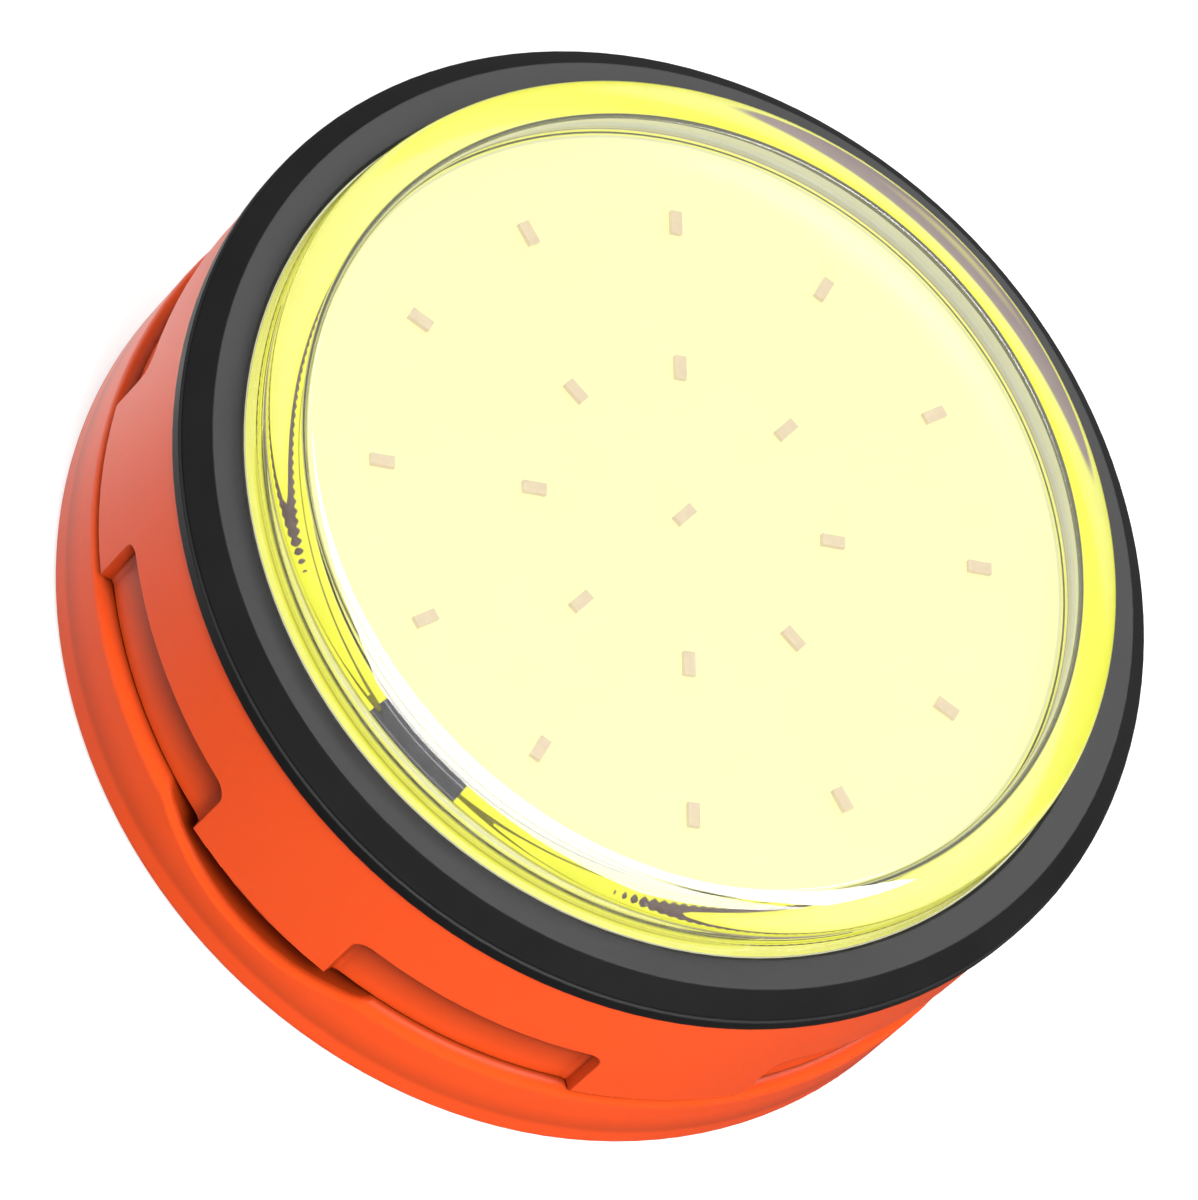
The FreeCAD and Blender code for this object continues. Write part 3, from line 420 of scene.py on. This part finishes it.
def wrapCollar():
    # thin silicone collar up the edge of the LED board; its glow is painted light, and its top is darker with
    # painted shade from the board's dam
    size = collarSet

    def byHeight(tree, place):
        axes = addNode(tree, "ShaderNodeSeparateXYZ", links={0: (place, "Object")})
        height = addNode(tree, "ShaderNodeMath", {"operation": "MULTIPLY", 1: 1000.0}, {0: (axes, "Z")})
        return rampBands(tree, height, 0, size["bands"]), "Color"

    piece = turnRing("boardCollar", size["sides"], size["inner"], size["outer"], size["low"], size["top"])
    finishPiece(piece, "light_unit", litSkin("collarSilicone", size, byHeight))


wrapCollar()
print("gasket and collar laid")

# toothed ring let into the gasket
toothSet = {"count": 260, "inner": 0.04362, "valley": 0.04384, "tip": 0.04402, "low": 0.0333,
            "high": 0.033508, "middle": 270, "half": 92, "pale": "#75635C", "deep": "#5C4A44", "fleck": 0.8,
            "detail": 2.0, "cloud": 1.5, "mottle": 0.05, "roughness": 0.5}


def cutTeeth():
    # brown nylon half ring with fine gripping teeth round its outside
    size = toothSet
    piece = turnRing("toothRing", 2 * size["count"], size["inner"], size["tip"], size["low"], size["high"])
    mesh = openFaces(piece)
    bpy.ops.mesh.select_mode(type="VERT")
    step = math.pi / size["count"]
    middle = (size["inner"] + size["valley"]) / 2

    def isValley(vert):
        place = round(math.atan2(vert.co.y, vert.co.x) / step)
        return vert.co.xy.length > middle and place % 2 == 0

    pick(piece, mesh.verts, isValley)
    shrink = size["valley"] / size["tip"]
    bpy.ops.transform.resize(value=(shrink, shrink, 1), center_override=(0, 0, 0))
    closeFaces()
    keepArc(piece, size["middle"], size["half"])
    # its dim brown glow is painted light, as on every part that litSkin dresses
    skin = litSkin("brownNylon", size, lambda tree, place: twoTone(tree, place, size))
    finishPiece(piece, "light_unit", skin)


cutTeeth()

# thin arcs laid on the gasket's face, on its near half: radii and heights in metres, bearings in degrees
inlaySet = {
    "seatLine": {"inner": 0.04441, "outer": 0.04449, "top": 0.033507, "middle": 270, "half": 92,
                 "pale": "#8E882E", "deep": "#746E20"},
    "seatGroove": {"inner": 0.04514, "outer": 0.04536, "top": 0.033512, "middle": 270, "half": 68,
                   "pale": "#4A4414", "deep": "#2C280C"},
    "lensKey": {"inner": 0.04444, "outer": 0.04514, "top": 0.033510, "middle": 270, "half": 8,
                "pale": "#606062", "deep": "#464648"},
    # a pale line across the key: a painted highlight
    "keyHighlight": {"inner": 0.04471, "outer": 0.04479, "top": 0.033514, "middle": 270, "half": 8,
               "pale": "#A2A2A6", "deep": "#909094"},
    "sides": 360, "low": 0.0333, "fleck": 0.6, "detail": 2.0, "cloud": 1.2, "mottle": 0.04, "roughness": 0.45,
}


def layInlays():
    # dark arcs with a fine fleck that glow dimly with painted light; the pale line along the key is a painted
    # highlight
    for name in ("seatLine", "seatGroove", "lensKey", "keyHighlight"):
        size = {**inlaySet, **inlaySet[name]}
        piece = turnRing(name, size["sides"], size["inner"], size["outer"], size["low"], size["top"])
        keepArc(piece, size["middle"], size["half"])
        skin = litSkin(name + "Silicone", size, lambda tree, place: twoTone(tree, place, size))
        finishPiece(piece, "light_unit", skin)


layInlays()
print("rings and inlays laid")

# sleeve between the lens and the clamp ring, with a skirt round the flange
sleeveSet = {"sides": 240, "bore": 0.04642, "outer": 0.04648, "low": 0.03472, "high": 0.03562,
             "skirtBore": 0.04742, "skirtOuter": 0.04755, "skirtLow": 0.0328, "skirtHigh": 0.03468,
             "pale": "#CFCFB0", "deep": "#C3C3A2", "fleck": 6.0, "detail": 1.0, "cloud": 5.0, "mottle": 0.02,
             "roughness": 0.5}


def fitSleeve():
    # milky silicone; its pale grey-green glow is painted light, standing in for the light the lens passes to
    # it
    size = sleeveSet
    skirt = turnRing("sleeveSkirt", size["sides"], size["skirtBore"], size["skirtOuter"], size["skirtLow"],
                     size["skirtHigh"])
    piece = turnRing("lensSleeve", size["sides"], size["bore"], size["outer"], size["low"], size["high"])
    skirt.select_set(True)
    bpy.ops.object.join()
    skin = litSkin("milkySilicone", size, lambda tree, place: twoTone(tree, place, size))
    finishPiece(piece, "light_unit", skin)


fitSleeve()
print("sleeve fitted")

# LED board and its packages
boardSet = {"cloud": 8.0, "mottle": 0.008, "roughness": 0.4,
            "bands": [(30.0, "#FFFFA8"), (41.3, "#FFFFA8"), (41.42, "#E4E4A6"), (41.62, "#DCDC9C"),
                      (41.7, "#EFEF70"), (41.9, "#EFEF70")]}
chipSet = {"deep": "#E4D1A1", "pale": "#DCC499", "fleck": 0.9, "detail": 2.0, "cloud": 0.9, "mottle": 0.02,
           "roughness": 0.4}


def litBoard():
    # white solder mask whose lime-yellow glow is painted light standing in for the LED light on it, with a
    # greyer silicone dam near the edge
    return litSkin("litSolderMask", boardSet,
                   lambda tree, place: (ringBands(tree, place, boardSet["bands"]), "Color"))


def litPackages():
    # phosphor-filled LED packages: a pinkish tan, a little uneven where the phosphor settled
    return litSkin("litPhosphor", chipSet, lambda tree, place: twoTone(tree, place, chipSet))


dress(litBoard(), "led_board")
dress(litPackages(), "led_chips")
print("LED board dressed")

# metal parts; each finish names its colours and the size in mm of the marks on it
metalSet = {
    "nickelPlate": {"cleanAndUnshaded": "#CFCAC0", "stain": "#B5AEA2", "marks": 2.5, "smooth": 0.18, "rough": 0.34,
                    "stretch": (1, 1, 1), "depth": 0.02, "edge": 0.2},
    "zincPlate": {"cleanAndUnshaded": "#C9CDD0", "stain": "#A9AEB4", "marks": 0.8, "smooth": 0.26, "rough": 0.42,
                  "stretch": (1, 1, 1), "depth": 0.04, "edge": 0.12},
    "groundPin": {"cleanAndUnshaded": "#C6C5C1", "stain": "#AFAEAA", "marks": 0.3, "smooth": 0.2, "rough": 0.32,
                  "stretch": (0.05, 1, 1), "depth": 0.06, "edge": 0.1},
    "springWire": {"cleanAndUnshaded": "#BFBBB0", "stain": "#98948A", "marks": 0.5, "smooth": 0.24, "rough": 0.4,
                   "stretch": (1, 1, 1), "depth": 0.03, "edge": 0.05},
}


def barePlate(name):
    # plated or ground steel: bright, with duller stained patches and fine marks along the way it was worked
    size = metalSet[name]
    mat, tree = startMaterial(name)
    place = addNode(tree, "ShaderNodeTexCoord")
    along = addNode(tree, "ShaderNodeMapping", {"Scale": size["stretch"]}, {"Vector": (place, "Object")})
    marks = addNode(tree, "ShaderNodeTexNoise", {"Scale": 1000 / size["marks"], "Detail": 4.0},
                    {"Vector": (along, 0)})
    tone = addNode(tree, "ShaderNodeMix", {"data_type": "RGBA", 6: fromHex(size["cleanAndUnshaded"]),
                                           7: fromHex(size["stain"])}, {0: (marks, "Fac")})
    dull = addNode(tree, "ShaderNodeMapRange", {"From Min": 0.3, "From Max": 0.7, "To Min": size["smooth"],
                                                "To Max": size["rough"]}, {"Value": (marks, "Fac")})
    rounded = addNode(tree, "ShaderNodeBevel", {"samples": 4, "Radius": size["edge"] / 1000})
    bump = addNode(tree, "ShaderNodeBump", {"Strength": size["depth"], "Distance": grainHeight},
                   {"Height": (marks, "Fac"), "Normal": (rounded, "Normal")})
    skin = addNode(tree, "ShaderNodeBsdfPrincipled", {"Metallic": 1.0},
                   {"Base Color": (tone, 2), "Roughness": (dull, 0), "Normal": (bump, "Normal")})
    closeMaterial(tree, skin)
    return mat


dress(barePlate("nickelPlate"), "magnet_cup", "contact_plates")
dress(barePlate("zincPlate"), "magnet_screw", "retainer_screws", "plate_screws", "tray_screws",
      "switch_screws")
dress(barePlate("groundPin"), "hook_pin")
dress(barePlate("springWire"), "contact_springs")

plateSet = {"cleanAndUnshaded": "#D2D4D6", "groove": "#B9BCC0", "feed": 0.6, "smooth": 0.25, "rough": 0.38,
            "depth": 0.15, "height": 0.00003}
ringPeriod = 0.314  # metres between rings of the wave texture at scale 1


def turnedAluminium():
    # aluminium faced on a lathe: rings about the axis, drawn at 0.6 mm where real feed marks are near 0.1 mm
    size = plateSet
    mat, tree = startMaterial("turnedAluminium")
    place = addNode(tree, "ShaderNodeTexCoord")
    rings = addNode(tree, "ShaderNodeTexWave", {"wave_type": "RINGS", "rings_direction": "Z",
                                                "Scale": ringPeriod * 1000 / size["feed"], "Distortion": 0.3,
                                                "Detail": 2.0}, {"Vector": (place, "Object")})
    tone = addNode(tree, "ShaderNodeMix", {"data_type": "RGBA", 6: fromHex(size["cleanAndUnshaded"]),
                                           7: fromHex(size["groove"])}, {0: (rings, "Fac")})
    dull = addNode(tree, "ShaderNodeMapRange", {"To Min": size["smooth"], "To Max": size["rough"]},
                   {"Value": (rings, "Fac")})
    bump = addNode(tree, "ShaderNodeBump", {"Strength": size["depth"], "Distance": size["height"]},
                   {"Height": (rings, "Fac")})
    skin = addNode(tree, "ShaderNodeBsdfPrincipled", {"Metallic": 1.0},
                   {"Base Color": (tone, 2), "Roughness": (dull, 0), "Normal": (bump, "Normal")})
    closeMaterial(tree, skin)
    return mat


dress(turnedAluminium(), "heat_plate")
print("metal parts dressed")

# plastics and rubber inside and underneath; marks in mm
innerSet = {
    "glassFilledNylon": {"body": "#191A1C", "fleck": "#2E3033", "marks": 0.9, "smooth": 0.42, "rough": 0.62,
                         "stretch": (0.25, 1, 1), "depth": 0.12, "edge": 0.15, "level": 0.4},
    "naturalAcetal": {"body": "#E4E0D4", "fleck": "#D6D1C2", "marks": 6.0, "smooth": 0.3, "rough": 0.4,
                      "stretch": (1, 1, 1), "depth": 0.03, "edge": 0.15, "level": 0.45},
    "nitrileRubber": {"body": "#141415", "fleck": "#232325", "marks": 0.7, "smooth": 0.5, "rough": 0.72,
                      "stretch": (1, 1, 1), "depth": 0.1, "edge": 0.05, "level": 0.3},
    "softTouchRubber": {"body": "#26272A", "fleck": "#303135", "marks": 0.3, "smooth": 0.62, "rough": 0.78,
                        "stretch": (1, 1, 1), "depth": 0.25, "edge": 0.2, "level": 0.25},
    "sinteredFerrite": {"body": "#262628", "fleck": "#3B3B3D", "marks": 0.5, "smooth": 0.5, "rough": 0.7,
                        "stretch": (1, 1, 1), "depth": 0.12, "edge": 0.15, "level": 0.5},
}


fleckHeight = 0.00008  # metres


def innerPlastic(name):
    # one body colour with a fleck of the filler: glass in nylon, carbon in rubber, grains in a fired magnet
    size = innerSet[name]
    mat, tree = startMaterial(name)
    place = addNode(tree, "ShaderNodeTexCoord")
    along = addNode(tree, "ShaderNodeMapping", {"Scale": size["stretch"]}, {"Vector": (place, "Object")})
    fleck = addNode(tree, "ShaderNodeTexNoise", {"Scale": 1000 / size["marks"], "Detail": 4.0},
                    {"Vector": (along, 0)})
    spread = addNode(tree, "ShaderNodeMapRange", {"From Min": 0.45, "From Max": 0.75},
                     {"Value": (fleck, "Fac")})
    tone = addNode(tree, "ShaderNodeMix", {"data_type": "RGBA", 6: fromHex(size["body"]),
                                           7: fromHex(size["fleck"])}, {0: (spread, 0)})
    dull = addNode(tree, "ShaderNodeMapRange", {"From Min": 0.3, "From Max": 0.7, "To Min": size["smooth"],
                                                "To Max": size["rough"]}, {"Value": (fleck, "Fac")})
    rounded = addNode(tree, "ShaderNodeBevel", {"samples": 4, "Radius": size["edge"] / 1000})
    bump = addNode(tree, "ShaderNodeBump", {"Strength": size["depth"], "Distance": fleckHeight},
                   {"Height": (fleck, "Fac"), "Normal": (rounded, "Normal")})
    skin = addNode(tree, "ShaderNodeBsdfPrincipled", {"IOR": 1.5, "Specular IOR Level": size["level"]},
                   {"Base Color": (tone, 2), "Roughness": (dull, 0), "Normal": (bump, "Normal")})
    closeMaterial(tree, skin)
    return mat


dress(innerPlastic("glassFilledNylon"), "battery_tray")
dress(innerPlastic("naturalAcetal"), "button_stem", "button_retainer")
dress(innerPlastic("nitrileRubber"), "base_seal")
dress(innerPlastic("softTouchRubber"), "button_pad")
dress(innerPlastic("sinteredFerrite"), "magnet_disc")

maskSet = {"mask": "#0D3A22", "trace": "#1C5B38", "cell": 4.2, "line": 0.045, "roughness": 0.32, "depth": 0.3,
           "height": 0.00004}


def solderMask():
    # green solder mask over copper: the tracks show through it as slightly raised, lighter lines
    size = maskSet
    mat, tree = startMaterial("greenSolderMask")
    place = addNode(tree, "ShaderNodeTexCoord")
    tracks = addNode(tree, "ShaderNodeTexVoronoi",
                     {"feature": "DISTANCE_TO_EDGE", "Scale": 1000 / size["cell"], "Randomness": 0.8},
                     {"Vector": (place, "Object")})
    line = addNode(tree, "ShaderNodeMapRange", {"From Min": size["line"], "From Max": 2 * size["line"],
                                                "To Min": 1.0, "To Max": 0.0},
                   {"Value": (tracks, "Distance")})
    tone = addNode(tree, "ShaderNodeMix", {"data_type": "RGBA", 6: fromHex(size["mask"]),
                                           7: fromHex(size["trace"])}, {0: (line, 0)})
    bump = addNode(tree, "ShaderNodeBump", {"Strength": size["depth"], "Distance": size["height"]},
                   {"Height": (line, 0)})
    skin = addNode(tree, "ShaderNodeBsdfPrincipled", {"IOR": 1.55, "Roughness": size["roughness"]},
                   {"Base Color": (tone, 2), "Normal": (bump, "Normal")})
    closeMaterial(tree, skin)
    return mat


dress(solderMask(), "driver_board", "switch_board")

partSet = {"dark": "#17171A", "warm": "#3A3029", "spread": 9.0, "grain": 0.25, "depth": 0.15, "edge": 0.1,
           "roughness": 0.5}


def epoxyParts():
    # moulded epoxy and ferrite parts: each a slightly different dark tone, with a fine matt grain
    size = partSet
    mat, tree = startMaterial("epoxyMoulding")
    place = addNode(tree, "ShaderNodeTexCoord")
    each = addNode(tree, "ShaderNodeTexVoronoi", {"Scale": 1000 / size["spread"]},
                   {"Vector": (place, "Object")})
    tone = addNode(tree, "ShaderNodeMix", {"data_type": "RGBA", 6: fromHex(size["dark"]),
                                           7: fromHex(size["warm"])}, {0: (each, "Color")})
    bump = grainBump(tree, place, size)
    skin = addNode(tree, "ShaderNodeBsdfPrincipled", {"IOR": 1.5, "Roughness": size["roughness"]},
                   {"Base Color": (tone, 2), "Normal": (bump, "Normal")})
    closeMaterial(tree, skin)
    return mat


dress(epoxyParts(), "driver_parts")

headerSet = {"barLow": 26.85, "barHigh": 29.35, "slack": 0.05, "gilt": "#D9B467", "bar": "#18181A",
             "marks": 0.6, "smooth": 0.2, "rough": 0.4}


def giltHeader():
    # gilt brass pins in a black bar: metal outside the bar's height, plastic within it
    size = headerSet
    mat, tree = startMaterial("giltHeader")
    place = addNode(tree, "ShaderNodeTexCoord")
    axes = addNode(tree, "ShaderNodeSeparateXYZ", links={0: (place, "Object")})
    middle = (size["barLow"] + size["barHigh"]) / 2000
    half = (size["barHigh"] - size["barLow"]) / 2000 + size["slack"] / 1000
    isBar = addNode(tree, "ShaderNodeMath", {"operation": "COMPARE", 1: middle, 2: half}, {0: (axes, "Z")})
    fleck = addNode(tree, "ShaderNodeTexNoise", {"Scale": 1000 / size["marks"], "Detail": 3.0},
                    {"Vector": (place, "Object")})
    dull = addNode(tree, "ShaderNodeMapRange", {"To Min": size["smooth"], "To Max": size["rough"]},
                   {"Value": (fleck, "Fac")})
    gilt = addNode(tree, "ShaderNodeBsdfPrincipled", {"Base Color": fromHex(size["gilt"]), "Metallic": 1.0},
                   {"Roughness": (dull, 0)})
    bar = addNode(tree, "ShaderNodeBsdfPrincipled", {"Base Color": fromHex(size["bar"]), "IOR": 1.5},
                  {"Roughness": (dull, 0)})
    skin = addNode(tree, "ShaderNodeMixShader", links={0: (isBar, 0), 1: (gilt, 0), 2: (bar, 0)})
    closeMaterial(tree, skin)
    return mat


dress(giltHeader(), "board_header")

switchSet = {"canLow": 10.05, "canHigh": 12.9, "steel": "#C4C6C8", "body": "#1A1A1C", "marks": 0.8,
             "smooth": 0.28, "rough": 0.5}


def switchCan():
    # push switch: a steel cover over a black body, with a black plunger below it
    size = switchSet
    mat, tree = startMaterial("switchCan")
    place = addNode(tree, "ShaderNodeTexCoord")
    axes = addNode(tree, "ShaderNodeSeparateXYZ", links={0: (place, "Object")})
    middle = (size["canLow"] + size["canHigh"]) / 2000
    half = (size["canHigh"] - size["canLow"]) / 2000
    isCan = addNode(tree, "ShaderNodeMath", {"operation": "COMPARE", 1: middle, 2: half}, {0: (axes, "Z")})
    fleck = addNode(tree, "ShaderNodeTexNoise", {"Scale": 1000 / size["marks"], "Detail": 3.0},
                    {"Vector": (place, "Object")})
    dull = addNode(tree, "ShaderNodeMapRange", {"To Min": size["smooth"], "To Max": size["rough"]},
                   {"Value": (fleck, "Fac")})
    steel = addNode(tree, "ShaderNodeBsdfPrincipled", {"Base Color": fromHex(size["steel"]), "Metallic": 1.0},
                    {"Roughness": (dull, 0)})
    body = addNode(tree, "ShaderNodeBsdfPrincipled", {"Base Color": fromHex(size["body"]), "IOR": 1.5},
                   {"Roughness": (dull, 0)})
    skin = addNode(tree, "ShaderNodeMixShader", links={0: (isCan, 0), 1: (body, 0), 2: (steel, 0)})
    closeMaterial(tree, skin)
    return mat


dress(switchCan(), "tact_switch")

cellSet = {"sleeveHalf": 20.9, "bandLow": 13.0, "sleeve": "#1F2226", "band": "#B9793A", "steel": "#C9C7C0",
           "marks": 1.2, "depth": 0.08, "roughness": 0.3}


def cellSleeve():
    # shrink film over a nickelled steel can: glossy, with bare metal ends and one copper-coloured band
    size = cellSet
    mat, tree = startMaterial("shrinkFilm")
    place = addNode(tree, "ShaderNodeTexCoord")
    axes = addNode(tree, "ShaderNodeSeparateXYZ", links={0: (place, "Object")})
    isFilm = addNode(tree, "ShaderNodeMath", {"operation": "COMPARE", 1: 0.0, 2: size["sleeveHalf"] / 1000},
                     {0: (axes, "X")})
    isBand = addNode(tree, "ShaderNodeMath", {"operation": "GREATER_THAN", 1: size["bandLow"] / 1000},
                     {0: (axes, "X")})
    tone = addNode(tree, "ShaderNodeMix", {"data_type": "RGBA", 6: fromHex(size["sleeve"]),
                                           7: fromHex(size["band"])}, {0: (isBand, 0)})
    wrinkle = addNode(tree, "ShaderNodeTexNoise", {"Scale": 1000 / size["marks"], "Detail": 2.0},
                      {"Vector": (place, "Object")})
    bump = addNode(tree, "ShaderNodeBump", {"Strength": size["depth"], "Distance": grainHeight},
                   {"Height": (wrinkle, "Fac")})
    film = addNode(tree, "ShaderNodeBsdfPrincipled", {"IOR": 1.5, "Roughness": size["roughness"]},
                   {"Base Color": (tone, 2), "Normal": (bump, "Normal")})
    can = addNode(tree, "ShaderNodeBsdfPrincipled", {"Base Color": fromHex(size["steel"]), "Metallic": 1.0,
                                                     "Roughness": size["roughness"]},
                  {"Normal": (bump, "Normal")})
    skin = addNode(tree, "ShaderNodeMixShader", links={0: (isFilm, 0), 1: (can, 0), 2: (film, 0)})
    closeMaterial(tree, skin)
    return mat


dress(cellSleeve(), "battery_cells")
print("inner parts dressed")

# room
roomSet = {"white": 1.0, "fill": 0.24, "glossDark": 0.18, "glossBright": 0.9, "glossFrom": 0.3,
           "glossTo": 0.95, "brightSide": (-0.1, 0.35, 0.93), "floorSize": 6.0, "floorDrop": 0.0002,
           "floorTone": 0.45, "floorLift": 0.7, "sheenPlace": (-0.066, -0.02, 0), "sheenReach": 0.06,
           "sheenLow": 0.12, "sheenHigh": 1.6, "underRadius": 0.05, "underLight": 0.5}


def lightRoom():
    # white all round for the camera; gloss sees a room that is bright above and behind the object
    world = bpy.data.worlds.new("paleRoom")
    bpy.context.scene.world = world
    world.use_nodes = True
    tree = world.node_tree
    tree.nodes.clear()
    way = addNode(tree, "ShaderNodeTexCoord")
    towards = addNode(tree, "ShaderNodeVectorMath", {"operation": "DOT_PRODUCT", 1: roomSet["brightSide"]},
                      {0: (way, "Generated")})
    gloss = addNode(tree, "ShaderNodeMapRange",
                    {"interpolation_type": "SMOOTHSTEP", "From Min": roomSet["glossFrom"],
                     "From Max": roomSet["glossTo"], "To Min": roomSet["glossDark"],
                     "To Max": roomSet["glossBright"]}, {"Value": (towards, "Value")})
    ray = addNode(tree, "ShaderNodeLightPath")
    clear = addNode(tree, "ShaderNodeMath", {"operation": "MAXIMUM"},
                    {0: (ray, "Is Camera Ray"), 1: (ray, "Is Transmission Ray")})
    direct = addNode(tree, "ShaderNodeMapRange", {"To Min": roomSet["fill"], "To Max": roomSet["white"]},
                     {"Value": (clear, 0)})
    level = addNode(tree, "ShaderNodeMix", links={0: (ray, "Is Glossy Ray"), 2: (direct, 0), 3: (gloss, 0)})
    sky = addNode(tree, "ShaderNodeBackground", {"Color": (1, 1, 1, 1)}, {"Strength": (level, 0)})
    addNode(tree, "ShaderNodeOutputWorld", links={"Surface": (sky, "Background")})


# the first three lamps light the surfaces, and the shine lamps only show in gloss; watts and metres
objectMiddle = (0, 0, 0.02)
lampSet = {
    "keyBox": {"place": (0.52, -0.6, 1.32), "aim": objectMiddle, "size": (0.6, 0.6), "power": 34.0,
               "shine": False},
    "sideBox": {"place": (-1.2, 0.1, 1.0), "aim": objectMiddle, "size": (0.6, 0.6), "power": 6.5,
                "shine": False},
    "backBox": {"place": (-0.1, 1.3, 0.75), "aim": objectMiddle, "size": (0.6, 0.6), "power": 16.0,
                "shine": False},
    "topPanel": {"place": (0.22, 0.09, 1.2), "aim": (0.22, 0.09, 0), "size": (0.8, 0.58), "power": 24.0,
                 "shine": True},
    "topStrip": {"place": (0.22, 0.55, 1.2), "aim": (0.22, 0.55, 0), "size": (0.8, 0.24), "power": 13.0,
                 "shine": True},
}


def softbox(name, settings):
    data = bpy.data.lights.new(name, "AREA")
    data.shape = "RECTANGLE"
    data.size, data.size_y = settings["size"]
    data.energy = settings["power"]
    lamp = bpy.data.objects.new(name, data)
    bpy.context.scene.collection.objects.link(lamp)
    lamp.location = settings["place"]
    towards = Vector(settings["aim"]) - Vector(settings["place"])
    lamp.rotation_euler = towards.to_track_quat("-Z", "Y").to_euler()
    lamp.visible_diffuse, lamp.visible_glossy = not settings["shine"], settings["shine"]


def layFloor():
    # pale sweep: it keeps the object's shadow, and passes light up to the object's underside
    bpy.ops.mesh.primitive_plane_add(size=roomSet["floorSize"], location=(0, 0, -roomSet["floorDrop"]))
    floor = bpy.context.object
    floor.name = "studioFloor"
    mat, tree = startMaterial("paleSweep")
    ray = addNode(tree, "ShaderNodeLightPath")
    place = addNode(tree, "ShaderNodeTexCoord")
    patch = addNode(tree, "ShaderNodeVectorMath", {"operation": "DISTANCE", 1: roomSet["sheenPlace"]},
                    {0: (place, "Object")})
    flat = addNode(tree, "ShaderNodeVectorMath", {"operation": "MULTIPLY", 1: (1, 1, 0)},
                   {0: (place, "Object")})
    radius = addNode(tree, "ShaderNodeVectorMath", {"operation": "LENGTH"}, {0: (flat, 0)})
    first = addNode(tree, "ShaderNodeMath", {"operation": "MAXIMUM"},
                    {0: (ray, "Is Camera Ray"), 1: (ray, "Is Transmission Ray")})
    lift = addNode(tree, "ShaderNodeMath", {"operation": "MULTIPLY", 1: roomSet["floorLift"]},
                   {0: (first, 0)})
    under = addNode(tree, "ShaderNodeMath", {"operation": "LESS_THAN", 1: roomSet["underRadius"]},
                    {0: (radius, "Value")})
    upward = addNode(tree, "ShaderNodeMath", {"operation": "MULTIPLY"},
                     {0: (under, 0), 1: (ray, "Is Diffuse Ray")})
    spill = addNode(tree, "ShaderNodeMath", {"operation": "MULTIPLY_ADD", 1: roomSet["underLight"]},
                    {0: (upward, 0), 2: (lift, 0)})
    paint = addNode(tree, "ShaderNodeBsdfDiffuse", {"Color": (roomSet["floorTone"],) * 3 + (1,)})
    glow = addNode(tree, "ShaderNodeEmission", {"Color": (1, 1, 1, 1)}, {"Strength": (spill, 0)})
    total = addNode(tree, "ShaderNodeAddShader", links={0: (paint, 0), 1: (glow, 0)})
    sheen = addNode(tree, "ShaderNodeMapRange", {"From Min": roomSet["sheenReach"], "From Max": 0.0,
                                                 "To Min": roomSet["sheenLow"],
                                                 "To Max": roomSet["sheenHigh"]}, {"Value": (patch, "Value")})
    grey = addNode(tree, "ShaderNodeEmission", {"Color": (1, 1, 1, 1)}, {"Strength": (sheen, 0)})
    top = addNode(tree, "ShaderNodeMixShader", links={0: (ray, "Is Glossy Ray"), 1: (total, 0), 2: (grey, 0)})
    side = addNode(tree, "ShaderNodeNewGeometry")
    clear = addNode(tree, "ShaderNodeBsdfTransparent")
    both = addNode(tree, "ShaderNodeMixShader", links={0: (side, "Backfacing"), 1: (top, 0), 2: (clear, 0)})
    closeMaterial(tree, both)
    floor.data.materials.append(mat)


bpy.ops.object.select_all(action="DESELECT")
lightRoom()
layFloor()
for name, lamp in lampSet.items():
    softbox(name, lamp)
bpy.context.scene.view_settings.view_transform = "Standard"
print("room lit")
